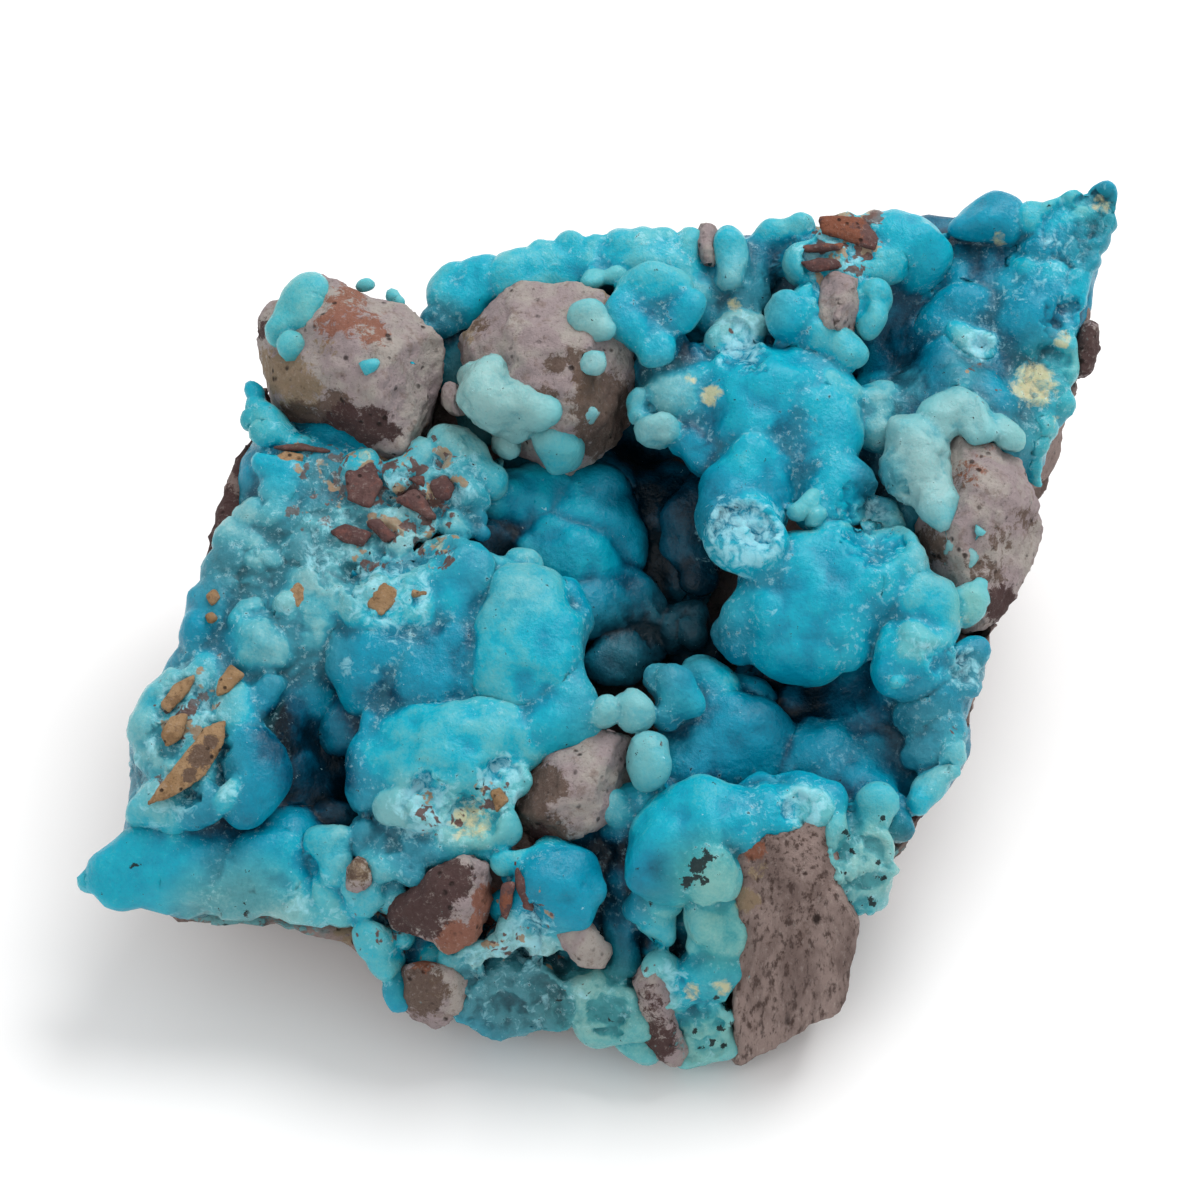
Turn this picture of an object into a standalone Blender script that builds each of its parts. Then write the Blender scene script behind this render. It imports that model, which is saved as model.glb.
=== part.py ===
"""Smithsonite specimen: a botryoidal blue crust on brown volcanic breccia, with its rock fragments.

Metres, +Z up. The origin is on the flat underside of the host rock, under the middle of the stone.
The places of the lumps and fragments are read from the picture of the stone by eye: across and down its
1200-pixel frame, with a lift in millimetres towards the viewer from the plane that the stone's face follows.
"""

import math

import bmesh
import bpy
from mathutils import Vector
from mathutils.geometry import intersect_point_line

MM = 0.001

# The picture of the stone
FRAME_PX = 1200
MM_PER_PX = 0.09            # the stone is about 93 mm across, over 1035 pixels
VIEW_ELEVATION = math.radians(50)
VIEW_DISTANCE = 400.0       # mm, from the viewer to the picture's middle
PICTURE_MIDDLE = (-0.88, 7.86, 15.0)    # mm from the middle of the stone's underside

# The stone's face: it leans back from the viewer, and turns down to the table below its front crest
FACE_LIFT = 17.5            # mm towards the viewer at the picture's middle
FACE_SLOPE = 0.3            # mm away from the viewer for each mm up the picture
FRONT_CREST = 870           # pixels down the picture
FRONT_FALL = 0.75           # mm away from the viewer for each mm down the picture below the crest

FIT_GAP = 0.36              # mm between the fragments and what holds them
SEAT_GAP = 0.6              # mm between the crust and the host rock
CRUST_VOXEL = 1.0           # mm
CRUST_ABOVE_TABLE = 0.3     # mm
TABLE_SIZE = 200            # mm, more than the stone's
CRUST_SHARE_KEPT = 0.11     # of the remeshed crust's triangles

SIN_VIEW = math.sin(VIEW_ELEVATION)
COS_VIEW = math.cos(VIEW_ELEVATION)


def face_point(across, down, lift):
    """The place, in mm, seen at this pixel and standing lift mm in front of the stone's face."""
    flat_up = (FRAME_PX / 2 - down) * MM_PER_PX
    fall = FRONT_FALL * max(0, down - FRONT_CREST) * MM_PER_PX
    toward = FACE_LIFT - FACE_SLOPE * flat_up - fall + lift
    nearer = 1 - toward / VIEW_DISTANCE
    up = flat_up * nearer
    right = (across - FRAME_PX / 2) * MM_PER_PX * nearer
    back = up * SIN_VIEW - toward * COS_VIEW
    height = up * COS_VIEW + toward * SIN_VIEW
    return Vector(PICTURE_MIDDLE) + Vector((right, back, height))


# Host rock: its rim in the picture (across, down, lift), then how far the waist and the foot below that
# point stand out from the middle of the rock, as shares of the rim's distance
ROCK_EDGE = [
    (262, 372, -6, 1.00, 0.80), (250, 435, -4, 1.04, 0.80), (222, 520, -3, 1.05, 0.80),
    (200, 600, -3, 1.02, 0.78), (165, 685, -4, 0.98, 0.74), (140, 760, -5, 0.94, 0.70),
    (122, 830, -6, 0.88, 0.64), (112, 893, -7, 0.80, 0.58), (180, 915, -6, 0.82, 0.62),
    (270, 925, -6, 0.86, 0.70), (345, 935, -5, 0.92, 0.80), (400, 985, -4, 0.95, 0.86),
    (460, 1015, -3, 0.96, 0.88), (550, 1035, -3, 0.96, 0.88), (650, 1050, -3, 0.96, 0.88),
    (725, 1045, -4, 0.96, 0.88), (795, 1010, -4, 0.95, 0.86), (835, 965, -4, 0.93, 0.83),
    (875, 890, -4, 0.92, 0.81), (925, 812, -4, 0.91, 0.80), (965, 740, -4, 0.90, 0.79),
    (985, 670, -4, 0.90, 0.79), (1003, 600, -5, 0.91, 0.80), (1020, 530, -6, 0.92, 0.80),
    (1046, 455, -5, 0.92, 0.80), (1078, 390, -4, 0.92, 0.80), (1092, 320, -4, 0.93, 0.80),
    (1098, 245, -4, 0.94, 0.80), (1080, 207, -6, 0.97, 0.82), (960, 225, -8, 1.00, 0.86),
    (830, 240, -8, 1.02, 0.88), (690, 252, -8, 1.03, 0.90), (550, 275, -8, 1.03, 0.90),
    (440, 315, -9, 1.03, 0.88), (340, 325, -9, 1.03, 0.86),
]
ROCK_WAIST_SHARE = 0.45     # the waist's height as a share of the rim's
ROCK_DISH_SHARE = 0.62      # the inner ring's distance from the middle as a share of the rim's
ROCK_DISH_LEVEL = 0.8       # the inner ring's height as a share of the rim's
ROCK_MIDDLE = (1.1, 2.9, 10)    # mm, on the floor of the dish
ROCK_RIM_LOW = 3.0          # mm, the least height of the rim above the table

# Deep places in the crust: across, down, radius in pixels, and depth in mm
HOLLOWS = [
    (640, 500, 75, 8), (690, 640, 55, 6), (300, 740, 55, 7), (930, 340, 55, 2), (885, 470, 40, 5),
    (800, 715, 75, 4), (625, 850, 40, 4), (690, 915, 25, 3), (560, 560, 60, 3), (340, 770, 25, 4),
]
BED_STEP = 42               # pixels between the lumps of the crust's bed
BED_MARGIN = 34             # pixels that the bed keeps inside the rock's rim
BED_RADIUS = 5.0            # mm
BED_LIFT = -3.5             # mm
BED_BACK = 28.9             # mm, the back edge of the bed's middles

# Lumps of the crust: (across, down, lift of the crown, radius in mm), by where they grow
LEFT_SHOULDER = [
    (225, 575, 0, 3.2), (262, 545, 0.5, 2.6), (300, 552, 0.8, 2.2), (205, 640, 0, 3.4), (245, 640, 0.6, 3.2),
    (262, 605, 0, 2.4), (170, 720, 0, 4.2), (235, 700, 0.6, 4.0), (272, 690, 0, 2.6), (235, 770, 0.8, 4.6),
    (150, 785, -0.5, 3.4), (200, 800, 0.4, 2.8), (300, 480, 0, 3.4), (262, 470, 0, 2.6), (255, 400, -1, 2.2),
    (330, 505, 0, 3.0), (300, 620, 0.4, 3.2), (340, 590, 0.5, 3.0), (430, 510, 0, 3.2), (385, 545, 0, 3.0),
    (465, 470, 0.4, 4.0), (470, 530, -1, 2.8),
]
LEFT_TIP = [
    (110, 880, -4.5, 1.6), (135, 872, -3.6, 2.6), (180, 868, -3.2, 3.6), (235, 875, -3.4, 3.6),
    (285, 868, -3.4, 3.8), (325, 850, -2.4, 3.4), (300, 905, -2.6, 2.8), (340, 900, -2.2, 2.6),
    (250, 905, -3.0, 2.2), (95, 881, -5, 0.9),
]
LEFT_MIDDLE = [
    (450, 590, 1.0, 4.0), (510, 600, 1.4, 5.0), (515, 660, 1.6, 6.0), (440, 660, 1.0, 5.4),
    (400, 600, 2.0, 4.4), (365, 660, 0.6, 4.0), (520, 560, -1, 1.8), (570, 640, 0.2, 3.6),
    (420, 745, 1.0, 6.0), (480, 740, 1.2, 5.4), (545, 715, 1.2, 4.6), (385, 800, 0.4, 3.4),
    (430, 800, 1.2, 3.8), (500, 785, 1.0, 2.8), (590, 720, 0.4, 2.4), (340, 730, -6, 3.6),
    (385, 700, -1.5, 3.4),
]
CENTRE_HOLLOW = [
    (590, 540, -6.5, 6.2), (560, 600, -6, 5.6), (625, 600, -8, 5.0), (520, 510, -4, 4.4),
    (480, 500, -2.5, 3.6), (700, 520, -6, 4.6), (685, 560, -7, 3.4), (690, 630, -9, 3.4),
    (620, 660, -9, 3.6), (605, 470, -13, 4.0), (660, 480, -13, 4.0), (650, 560, -12.5, 4.0),
    (740, 660, -9, 3.6),
]
BACK_RIDGE = [
    (465, 285, 0, 3.0), (440, 300, -1.2, 1.8), (500, 275, 0, 2.8), (540, 262, 0, 2.4),
    (580, 250, 0.6, 2.4), (620, 262, 0.8, 3.2), (660, 252, 0.8, 2.6), (690, 245, 0.8, 2.0),
    (612, 280, 1.6, 2.2), (655, 300, 3.6, 3.9), (682, 315, 3.0, 3.2), (645, 335, 3.2, 3.4),
    (590, 325, 4.2, 1.8), (725, 255, 1.8, 2.3), (722, 280, 1.2, 1.6), (760, 300, -1, 3.2),
    (770, 245, 0.4, 2.8), (800, 235, 0.8, 2.6), (840, 230, 1.0, 2.6), (880, 240, 0.8, 2.8),
    (905, 240, 0, 3.0), (790, 318, 3.0, 2.4), (815, 300, 2.6, 3.2), (850, 345, 2.6, 2.6),
    (870, 290, 1.4, 2.6), (700, 350, -0.5, 3.0), (680, 390, 0.8, 3.8), (652, 428, 1.6, 2.2),
    (640, 395, 0, 1.6), (720, 370, 0.6, 3.4),
]
RIGHT_SHOULDER = [
    (985, 215, 0.4, 3.0), (960, 225, 0, 2.2), (1010, 225, 0, 2.6), (1055, 225, 0.8, 2.6),
    (1095, 205, 0.8, 1.7), (1090, 235, 0.2, 1.8), (1075, 270, 0, 2.2), (1045, 290, -0.5, 2.8),
    (970, 320, -1.5, 3.6), (950, 330, -2.5, 3.4), (1030, 340, -1, 3.8), (1060, 330, -0.4, 2.4),
    (1020, 390, -1.5, 3.0), (1050, 385, -1, 2.4), (1040, 430, -1.6, 2.2), (910, 385, -6, 2.6),
    (960, 370, -4.5, 2.6), (1000, 270, -3.5, 2.6), (940, 280, -5.5, 3.6), (945, 405, 3.0, 2.0),
    (972, 415, 3.2, 1.8), (985, 438, 3.2, 1.6), (1005, 428, 2.2, 1.6), (920, 440, 3.2, 2.2),
    (915, 470, 3.4, 2.6), (930, 500, 3.2, 2.2),
]
CENTRE_MASS = [
    (760, 375, 1.6, 4.6), (820, 385, 1.0, 4.0), (880, 410, -1, 2.8), (730, 415, 2.0, 4.6),
    (780, 430, 2.4, 5.0), (825, 440, 2.0, 4.2), (700, 455, 1.6, 3.0), (760, 490, 3.2, 4.8),
    (830, 490, 1.8, 3.6), (745, 530, 5.0, 4.2), (770, 550, 4.2, 3.2), (800, 530, 2.0, 3.0),
    (830, 520, 1.6, 2.2), (875, 515, -2.0, 2.0),
]
RIGHT_MIDDLE = [
    (780, 600, 1.2, 5.4), (830, 590, 1.6, 6.0), (880, 580, 2.2, 5.0), (800, 640, 1.6, 4.6),
    (850, 630, 1.6, 4.8), (745, 625, 0, 3.0), (920, 620, 2.4, 3.6), (925, 655, 2.6, 3.4),
    (905, 672, 1.8, 2.8), (945, 640, 2.0, 2.8), (940, 700, -0.5, 4.0), (920, 740, -2, 3.0),
    (955, 740, -1.5, 2.4), (935, 790, -1.5, 2.4), (965, 690, -0.6, 2.4),
]
LOWER_MIDDLE = [
    (700, 690, -2.5, 2.8), (678, 690, 0.2, 2.0), (684, 712, 0.2, 1.6), (635, 708, 2.0, 1.8),
    (602, 712, 2.0, 1.2), (650, 760, 1.8, 2.0), (700, 740, -2.5, 4.6), (740, 720, -3.5, 4.2),
    (760, 680, -6.0, 2.4), (800, 720, -5.5, 4.6), (840, 760, -4.5, 3.8), (780, 765, -3.5, 4.6),
    (720, 790, -1.0, 4.0), (670, 790, -1.5, 3.2), (625, 815, -2.0, 3.0),
]
FRONT = [
    (690, 850, 2.0, 5.0), (740, 820, 2.0, 4.4), (790, 805, 2.2, 3.6), (820, 810, 1.8, 2.6),
    (660, 840, 1.0, 3.0), (705, 870, 3.0, 3.0), (722, 898, 2.6, 2.8), (662, 900, 0.4, 2.4),
    (705, 930, 2.0, 2.6), (725, 950, 2.2, 2.6), (690, 980, 2.0, 3.4), (670, 965, 1.6, 2.4),
    (650, 905, -0.6, 2.2), (570, 880, 0.6, 4.2), (560, 850, 0, 3.0), (610, 840, -3.0, 3.0),
    (540, 900, 0.6, 3.0), (580, 950, 1.4, 3.6), (600, 1000, 1.2, 4.0), (550, 990, 0.8, 4.4),
    (500, 990, 0.4, 4.6), (640, 1020, 1.2, 3.6), (560, 1015, 0.8, 3.6), (510, 1010, 0.6, 3.4),
    (400, 960, 0, 3.0), (400, 990, -0.4, 2.2), (375, 950, 0.2, 2.0), (880, 800, 0, 1.8),
    (870, 840, 1.0, 2.8), (865, 880, 2.0, 3.0), (845, 880, 2.0, 2.2), (880, 900, 1.4, 1.8),
    (845, 830, 1.2, 2.4), (690, 1020, 1.6, 3.6), (705, 1040, 1.0, 3.0), (450, 985, -0.4, 3.6),
    (425, 1010, -0.8, 1.8), (470, 1010, 0, 2.4), (590, 1030, 0.6, 2.2), (380, 925, 0, 2.2),
]
ON_FRAGMENTS = [
    (300, 300, 1.8, 2.4), (315, 298, 2.6, 1.8), (285, 330, 0.6, 2.2), (290, 350, 1.2, 1.4),
    (280, 310, 0.2, 2.2), (268, 330, -2.0, 2.4), (460, 372, 3.0, 2.4), (480, 365, 4.8, 2.2),
    (490, 400, 5.6, 2.8), (520, 410, 5.8, 2.2), (475, 415, 3.4, 3.0), (505, 435, 4.0, 2.6),
    (540, 418, 5.6, 1.8), (535, 445, 3.4, 2.4), (555, 450, 2.8, 2.6), (500, 462, 1.0, 2.4),
    (540, 470, 0.2, 2.2), (450, 380, 0.6, 1.8), (590, 325, 5.2, 1.8), (596, 366, 5.0, 1.2),
    (925, 450, 3.6, 3.0), (915, 490, 3.4, 3.2), (940, 505, 3.6, 2.0), (958, 415, 3.2, 2.8),
    (990, 430, 3.4, 2.2),
]
GROWTHS = (LEFT_SHOULDER, LEFT_TIP, LEFT_MIDDLE, CENTRE_HOLLOW, BACK_RIDGE, RIGHT_SHOULDER, CENTRE_MASS,
           RIGHT_MIDDLE, LOWER_MIDDLE, FRONT, ON_FRAGMENTS)

# Rock fragments: corners of the face that shows, (across, down, lift), then how far they reach into the
# crust
FRAGMENTS = {
    "fragment_back_left": {
        "face": [
            (252, 345, -3), (268, 312, -1), (318, 278, 0), (338, 274, 1), (400, 305, 1), (444, 342, 1),
            (440, 380, 0), (428, 455, -1), (415, 470, -2), (345, 452, -3), (295, 435, -4), (262, 385, -4),
            (330, 340, 5), (385, 350, 5), (400, 400, 4.5), (330, 400, 3), (285, 360, 3),
        ],
        "depth": 13, "shrink": 0.8,
    },
    "fragment_back_middle": {
        "face": [
            (452, 342, -1), (512, 290, 1), (545, 292, 2), (608, 286, 1), (628, 330, 0), (636, 420, -3),
            (615, 445, -4), (570, 472, -5), (510, 462, -5), (474, 395, -2), (520, 330, 5), (585, 340, 5),
            (600, 395, 4), (485, 395, 4), (560, 430, 2),
        ],
        "depth": 11, "shrink": 0.75,
    },
    "fragment_right": {
        "face": [
            (948, 425, 0), (985, 432, 1), (1018, 455, 0), (1035, 500, -1), (1044, 530, -2), (1035, 562, -3),
            (1012, 588, -3), (990, 600, -3), (975, 650, -4), (962, 610, -1), (935, 560, -1), (915, 545, -2),
            (945, 470, 2), (965, 500, 4.5), (1000, 495, 4), (1005, 545, 3), (960, 540, 3),
        ],
        "depth": 10, "shrink": 0.75,
    },
    "fragment_front": {
        "face": [
            (736, 850, 1.5), (770, 838, 2.5), (818, 822, 2.5), (830, 822, 2), (836, 905, 3),
            (857, 932, 1.5), (848, 985, 0), (836, 1014, -1), (805, 1025, -1), (770, 1044, -1),
            (737, 1060, -1), (735, 1000, 1.5), (755, 950, 3), (800, 960, 3.5),
        ],
        "depth": 9, "shrink": 0.8,
    },
    "fragment_front_left": {
        "face": [
            (380, 908, 0), (432, 878, 1), (478, 852, 1), (492, 880, 1), (492, 915, 1.2), (474, 942, 1.6),
            (440, 954, 1.6), (405, 942, 1.2), (395, 932, 0.8), (450, 905, 2.5),
        ],
        "depth": 7, "shrink": 0.7,
    },
    "fragment_foot_left": {
        "face": [
            (398, 968, 0.4), (430, 966, 1), (466, 974, 1), (470, 1000, 0.8), (445, 1022, 0),
            (430, 1028, -0.6), (410, 1004, -0.4), (440, 992, 1.4),
        ],
        "depth": 6, "shrink": 0.7,
    },
    "fragment_middle": {
        "face": [
            (520, 758, -1), (560, 750, 0), (595, 725, 0), (625, 722, 0), (642, 770, 0.5), (645, 795, 0),
            (600, 815, -0.5), (575, 838, -1), (540, 848, -1.5), (508, 845, -1.5), (515, 800, -0.5),
            (560, 790, 2), (600, 770, 2),
        ],
        "depth": 8, "shrink": 0.7,
    },
    "fragment_ridge": {
        "face": [
            (822, 278, 2.4), (850, 268, 2.6), (857, 270, 2.4), (856, 310, 2.2), (850, 352, 1.6),
            (820, 332, 2.0), (824, 300, 3.0), (845, 300, 4.6), (846, 330, 4.0),
        ],
        "depth": 5, "shrink": 0.7,
    },
    "fragment_notch": {
        "face": [
            (445, 388, 0), (452, 382, 0.6), (460, 394, 0.6), (468, 414, 0), (452, 416, 0), (442, 402, 0),
            (454, 398, 1.8),
        ],
        "depth": 4, "shrink": 0.7,
    },
    "fragment_foot_middle": {
        "face": [
            (642, 962, 1.6), (655, 962, 2), (658, 1000, 2.4), (672, 1032, 2.2), (684, 1062, 1),
            (668, 1068, 0.8), (650, 1058, 0.8), (637, 1025, 0.8), (648, 990, 2.4),
        ],
        "depth": 5, "shrink": 0.75,
    },
    "fragment_foot_grey": {
        "face": [
            (552, 930, 1.6), (585, 922, 1.6), (608, 955, 1.6), (600, 968, 1.4), (575, 962, 1.8),
            (580, 945, 2.6),
        ],
        "depth": 4, "shrink": 0.7,
    },
    "fragment_tip_ridge": {
        "face": [
            (350, 870, -0.6), (362, 858, -0.6), (372, 880, 0), (358, 895, 0), (348, 888, -0.4),
            (360, 876, 0.8),
        ],
        "depth": 3.5, "shrink": 0.7,
    },
    "fragment_right_edge": {
        "face": [
            (1092, 322, -2), (1098, 345, -2), (1092, 370, -2.5), (1078, 385, -2.5), (1080, 345, -1.6),
            (1090, 350, -0.8),
        ],
        "depth": 4, "shrink": 0.8,
    },
    "fragment_ridge_hook": {
        "face": [
            (703, 226, 0), (711, 225, 0), (708, 250, 1.4), (713, 268, 1.0), (704, 255, 0.8), (701, 238, 0.8),
        ],
        "depth": 3, "shrink": 0.8,
    },
}
# Small chips with a broken flat face: the outline, the lift of its plane, and the depth in mm
CHIPS = {
    "chip_ridge_bar": ([(802, 246), (844, 243), (842, 249), (803, 251)], 2.4, 2.0),
    "chip_ridge_lens": ([(800, 263), (820, 258), (838, 260), (843, 267), (812, 271)], 2.6, 1.6),
    "chip_ridge_red": ([(820, 217), (862, 218), (880, 238), (876, 250), (850, 238), (822, 232)], 1.9, 2.0),
    "chip_brown_square": ([(345, 472), (372, 462), (382, 485), (370, 508), (348, 500)], 0.9, 3.0),
    "chip_brown_wedge": ([(405, 478), (425, 476), (423, 487)], 0.9, 2.0),
    "chip_brown_corner": ([(430, 482), (445, 476), (454, 488), (450, 500), (435, 497)], 1.0, 2.4),
    "chip_pink_slope": ([(395, 500), (415, 488), (425, 500), (438, 520), (428, 518)], 0.9, 2.4),
    "chip_brown_sliver": ([(366, 522), (378, 520), (398, 538), (385, 542)], 1.0, 2.2),
    "chip_brown_blade": ([(330, 532), (345, 524), (372, 534), (362, 545), (345, 542)], 1.0, 2.4),
    "chip_left_bar": ([(268, 448), (300, 444), (335, 452), (300, 450)], 0.2, 2.0),
    "chip_sand_top": ([(270, 462), (285, 452), (303, 455), (300, 470), (280, 466)], 0.6, 2.4),
    "chip_sand_left": ([(286, 594), (300, 578), (314, 578), (312, 595), (297, 608)], 1.2, 2.6),
    "chip_sand_diamond": ([(362, 600), (384, 582), (404, 596), (380, 616)], 2.4, 2.4),
    "chip_sand_splinter": ([(404, 588), (428, 592), (426, 596), (405, 596)], 2.3, 1.6),
    "chip_sand_blade": (
        [(145, 806), (180, 760), (205, 728), (226, 720), (222, 745), (205, 775), (175, 795)], 1.4, 2.6),
    "chip_sand_tooth": ([(162, 735), (170, 718), (188, 714), (180, 738), (166, 748)], 1.0, 2.2),
    "chip_sand_ridge": ([(160, 705), (175, 684), (196, 674), (188, 692), (168, 712)], 0.9, 2.0),
    "chip_sand_fin": ([(216, 695), (220, 678), (231, 665), (244, 675), (228, 692)], 1.3, 2.2),
    "chip_sand_bead": ([(206, 596), (214, 590), (220, 598), (212, 606)], 0.9, 1.6),
    "chip_sand_dot": ([(206, 616), (213, 612), (217, 619), (210, 624)], 0.9, 1.6),
    "chip_sand_low": ([(490, 792), (500, 788), (508, 800), (497, 812)], 1.2, 2.0),
    "chip_red_fang": ([(515, 862), (524, 880), (534, 912), (524, 908), (516, 885)], 1.8, 2.0),
    "chip_red_tooth": ([(503, 885), (514, 882), (512, 905), (505, 922), (500, 905)], 1.9, 2.0),
}
CHIP_SHRINK = 0.6
CHIP_CROWN = 0.35           # mm that a chip's face stands above its plane at the middle

BROWN = (0.17, 0.10, 0.085, 1)
PINK_GREY = (0.36, 0.28, 0.26, 1)
SAND = (0.32, 0.20, 0.11, 1)
BLUE = (0.01, 0.38, 0.50, 1)


def clear_scene():
    for thing in list(bpy.data.objects):
        bpy.data.objects.remove(thing)


def collection(name):
    made = bpy.data.collections.new(name)
    bpy.context.scene.collection.children.link(made)
    return made


def material(name, colour, roughness):
    made = bpy.data.materials.new(name)
    made.use_nodes = True
    shader = made.node_tree.nodes["Principled BSDF"]
    shader.inputs["Base Color"].default_value = colour
    shader.inputs["Roughness"].default_value = roughness
    shader.inputs["Metallic"].default_value = 0
    return made


def add_object(name, shape, group, look=None):
    """Makes an object of the bmesh, whose units are mm."""
    bmesh.ops.scale(shape, vec=(MM, MM, MM), verts=shape.verts)
    mesh = bpy.data.meshes.new(name)
    shape.to_mesh(mesh)
    shape.free()
    made = bpy.data.objects.new(name, mesh)
    group.objects.link(made)
    if look:
        mesh.materials.append(look)
    return made


def hull(points):
    """The convex rock fragment with these corners."""
    shape = bmesh.new()
    for point in points:
        shape.verts.new(point)
    bmesh.ops.convex_hull(shape, input=shape.verts, use_existing_faces=False)
    loose = [v for v in shape.verts if not v.link_faces]
    bmesh.ops.delete(shape, geom=loose, context="VERTS")
    bmesh.ops.recalc_face_normals(shape, faces=shape.faces)
    return shape


def grown(points, gap):
    """The corners, each moved gap mm along every axis: their hull clears the fragment by the gap."""
    steps = [Vector(s) * gap for s in ((1, 0, 0), (-1, 0, 0), (0, 1, 0), (0, -1, 0), (0, 0, 1), (0, 0, -1))]
    return [Vector(p) + s for p in points for s in steps]


def fragment_corners(spec):
    """The corners that show and those sunk into the stone, kept above the table."""
    shown = [face_point(*corner) for corner in spec["face"]]
    middle = sum(shown, Vector()) / len(shown)
    inward = (face_point(600, 600, 0) - face_point(600, 600, 1)).normalized()
    sunk = [middle + (p - middle) * spec["shrink"] + inward * spec["depth"] for p in shown]
    return [Vector((p.x, p.y, max(p.z, 0.0))) for p in shown + sunk]


def chip_corners(outline, lift, depth):
    shown = [face_point(across, down, lift) for across, down in outline]
    middle = sum(shown, Vector()) / len(shown)
    outward = (face_point(600, 600, 1) - face_point(600, 600, 0)).normalized()
    crown = [middle + outward * CHIP_CROWN]
    sunk = [middle + (p - middle) * CHIP_SHRINK - outward * depth for p in shown]
    return shown + crown + sunk


def host_rock(gap):
    """The host rock, gap mm larger all round: a loft of rings from the flat underside to a dished top."""
    middle = Vector(ROCK_MIDDLE)
    rim = [face_point(across, down, lift) for across, down, lift, _, _ in ROCK_EDGE]
    rim = [Vector((p.x, p.y, max(p.z, ROCK_RIM_LOW))) for p in rim]
    foot = []
    waist = []
    dish = []
    for edge, (_, _, _, waist_share, foot_share) in zip(rim, ROCK_EDGE):
        out = Vector((edge.x - middle.x, edge.y - middle.y, 0))
        foot.append(Vector((middle.x, middle.y, 0)) + out * foot_share)
        waist.append(Vector((middle.x, middle.y, edge.z * ROCK_WAIST_SHARE)) + out * waist_share)
        dish.append(Vector((middle.x, middle.y, edge.z * ROCK_DISH_LEVEL)) + out * ROCK_DISH_SHARE)
    shape = bmesh.new()
    loops = [[shape.verts.new(point) for point in ring] for ring in (foot, waist, rim, dish)]
    shape.faces.new(loops[0])
    for low, high in zip(loops, loops[1:]):
        for i, corner in enumerate(low):
            shape.faces.new((low[i - 1], corner, high[i], high[i - 1]))
    top = shape.verts.new(middle)
    for i, corner in enumerate(loops[-1]):
        shape.faces.new((loops[-1][i - 1], corner, top))
    bmesh.ops.triangulate(shape, faces=[f for f in shape.faces if len(f.verts) == 4])
    bmesh.ops.recalc_face_normals(shape, faces=shape.faces)
    shape.normal_update()
    moves = [v.normal * gap * v.calc_shell_factor() for v in shape.verts]
    for vert, move in zip(shape.verts, moves):
        vert.co += move
    return shape


def inside_rim(across, down, margin):
    """Whether the pixel is inside the rock's rim, by at least the margin in pixels."""
    corners = [(edge[0], edge[1]) for edge in ROCK_EDGE]
    inside = False
    spot = Vector((across, down))
    for (x1, y1), (x2, y2) in zip(corners, corners[1:] + corners[:1]):
        nearest, share = intersect_point_line(spot, (x1, y1), (x2, y2))
        share = min(max(share, 0), 1)
        if (spot - Vector((x1, y1)).lerp(Vector((x2, y2)), share)).length < margin:
            return False
        if (y1 > down) != (y2 > down) and across < x1 + (x2 - x1) * (down - y1) / (y2 - y1):
            inside = not inside
    return inside


def bed_lift(across, down):
    """The lift of the crust's bed at this pixel, lowered by the hollows near it."""
    lift = BED_LIFT
    for x, y, radius, depth in HOLLOWS:
        lift -= depth * math.exp(-((across - x) ** 2 + (down - y) ** 2) / radius ** 2)
    return lift


def crust_bed():
    """Even lumps under the whole face of the stone: (across, down, lift, radius)."""
    lumps = []
    for row in range(FRAME_PX // BED_STEP):
        for column in range(FRAME_PX // BED_STEP):
            across = (column + 0.5 * (row % 2)) * BED_STEP
            down = row * BED_STEP
            lift = bed_lift(across, down)
            in_front = face_point(across, down, lift - BED_RADIUS).y < BED_BACK
            if in_front and inside_rim(across, down, BED_MARGIN):
                lumps.append((across, down, lift, BED_RADIUS))
    return lumps


def crust_lumps():
    """Every lump of the crust as a ball, joined into one shape but not yet one surface."""
    shape = bmesh.new()
    for growth in (crust_bed(), *GROWTHS):
        for across, down, crown, radius in growth:
            centre = face_point(across, down, crown - radius)
            ball = bmesh.ops.create_icosphere(shape, subdivisions=2, radius=radius)
            bmesh.ops.translate(shape, vec=centre, verts=ball["verts"])
    return shape


def apply_modifiers(thing):
    graph = bpy.context.evaluated_depsgraph_get()
    graph.update()
    mesh = bpy.data.meshes.new_from_object(thing.evaluated_get(graph))
    thing.modifiers.clear()
    thing.data = mesh


def keep_largest_piece(thing):
    """Deletes the crumbs that the cuts leave beside the main body."""
    shape = bmesh.new()
    shape.from_mesh(thing.data)
    left = set(shape.verts)
    pieces = []
    while left:
        front = [left.pop()]
        piece = set(front)
        while front:
            for edge in front.pop().link_edges:
                for vert in edge.verts:
                    if vert in left:
                        left.remove(vert)
                        piece.add(vert)
                        front.append(vert)
        pieces.append(piece)
    pieces.sort(key=len)
    for piece in pieces[:-1]:
        bmesh.ops.delete(shape, geom=list(piece), context="VERTS")
    shape.to_mesh(thing.data)
    shape.free()


def cut(thing, cutters):
    """Cuts every object of the collection from thing."""
    boolean = thing.modifiers.new("sockets", "BOOLEAN")
    boolean.operation = "DIFFERENCE"
    boolean.operand_type = "COLLECTION"
    boolean.collection = cutters
    boolean.solver = "EXACT"
    apply_modifiers(thing)
    keep_largest_piece(thing)


def hide(thing):
    thing.hide_render = True
    thing.display_type = "WIRE"


def add_floor_cutter(group):
    """A block under the table's surface, so that no lump of the crust reaches below the flat underside."""
    shape = bmesh.new()
    bmesh.ops.create_cube(shape, size=TABLE_SIZE)
    bmesh.ops.translate(shape, vec=(0, 0, CRUST_ABOVE_TABLE - TABLE_SIZE / 2), verts=shape.verts)
    hide(add_object("cut_table", shape, group))


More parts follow.
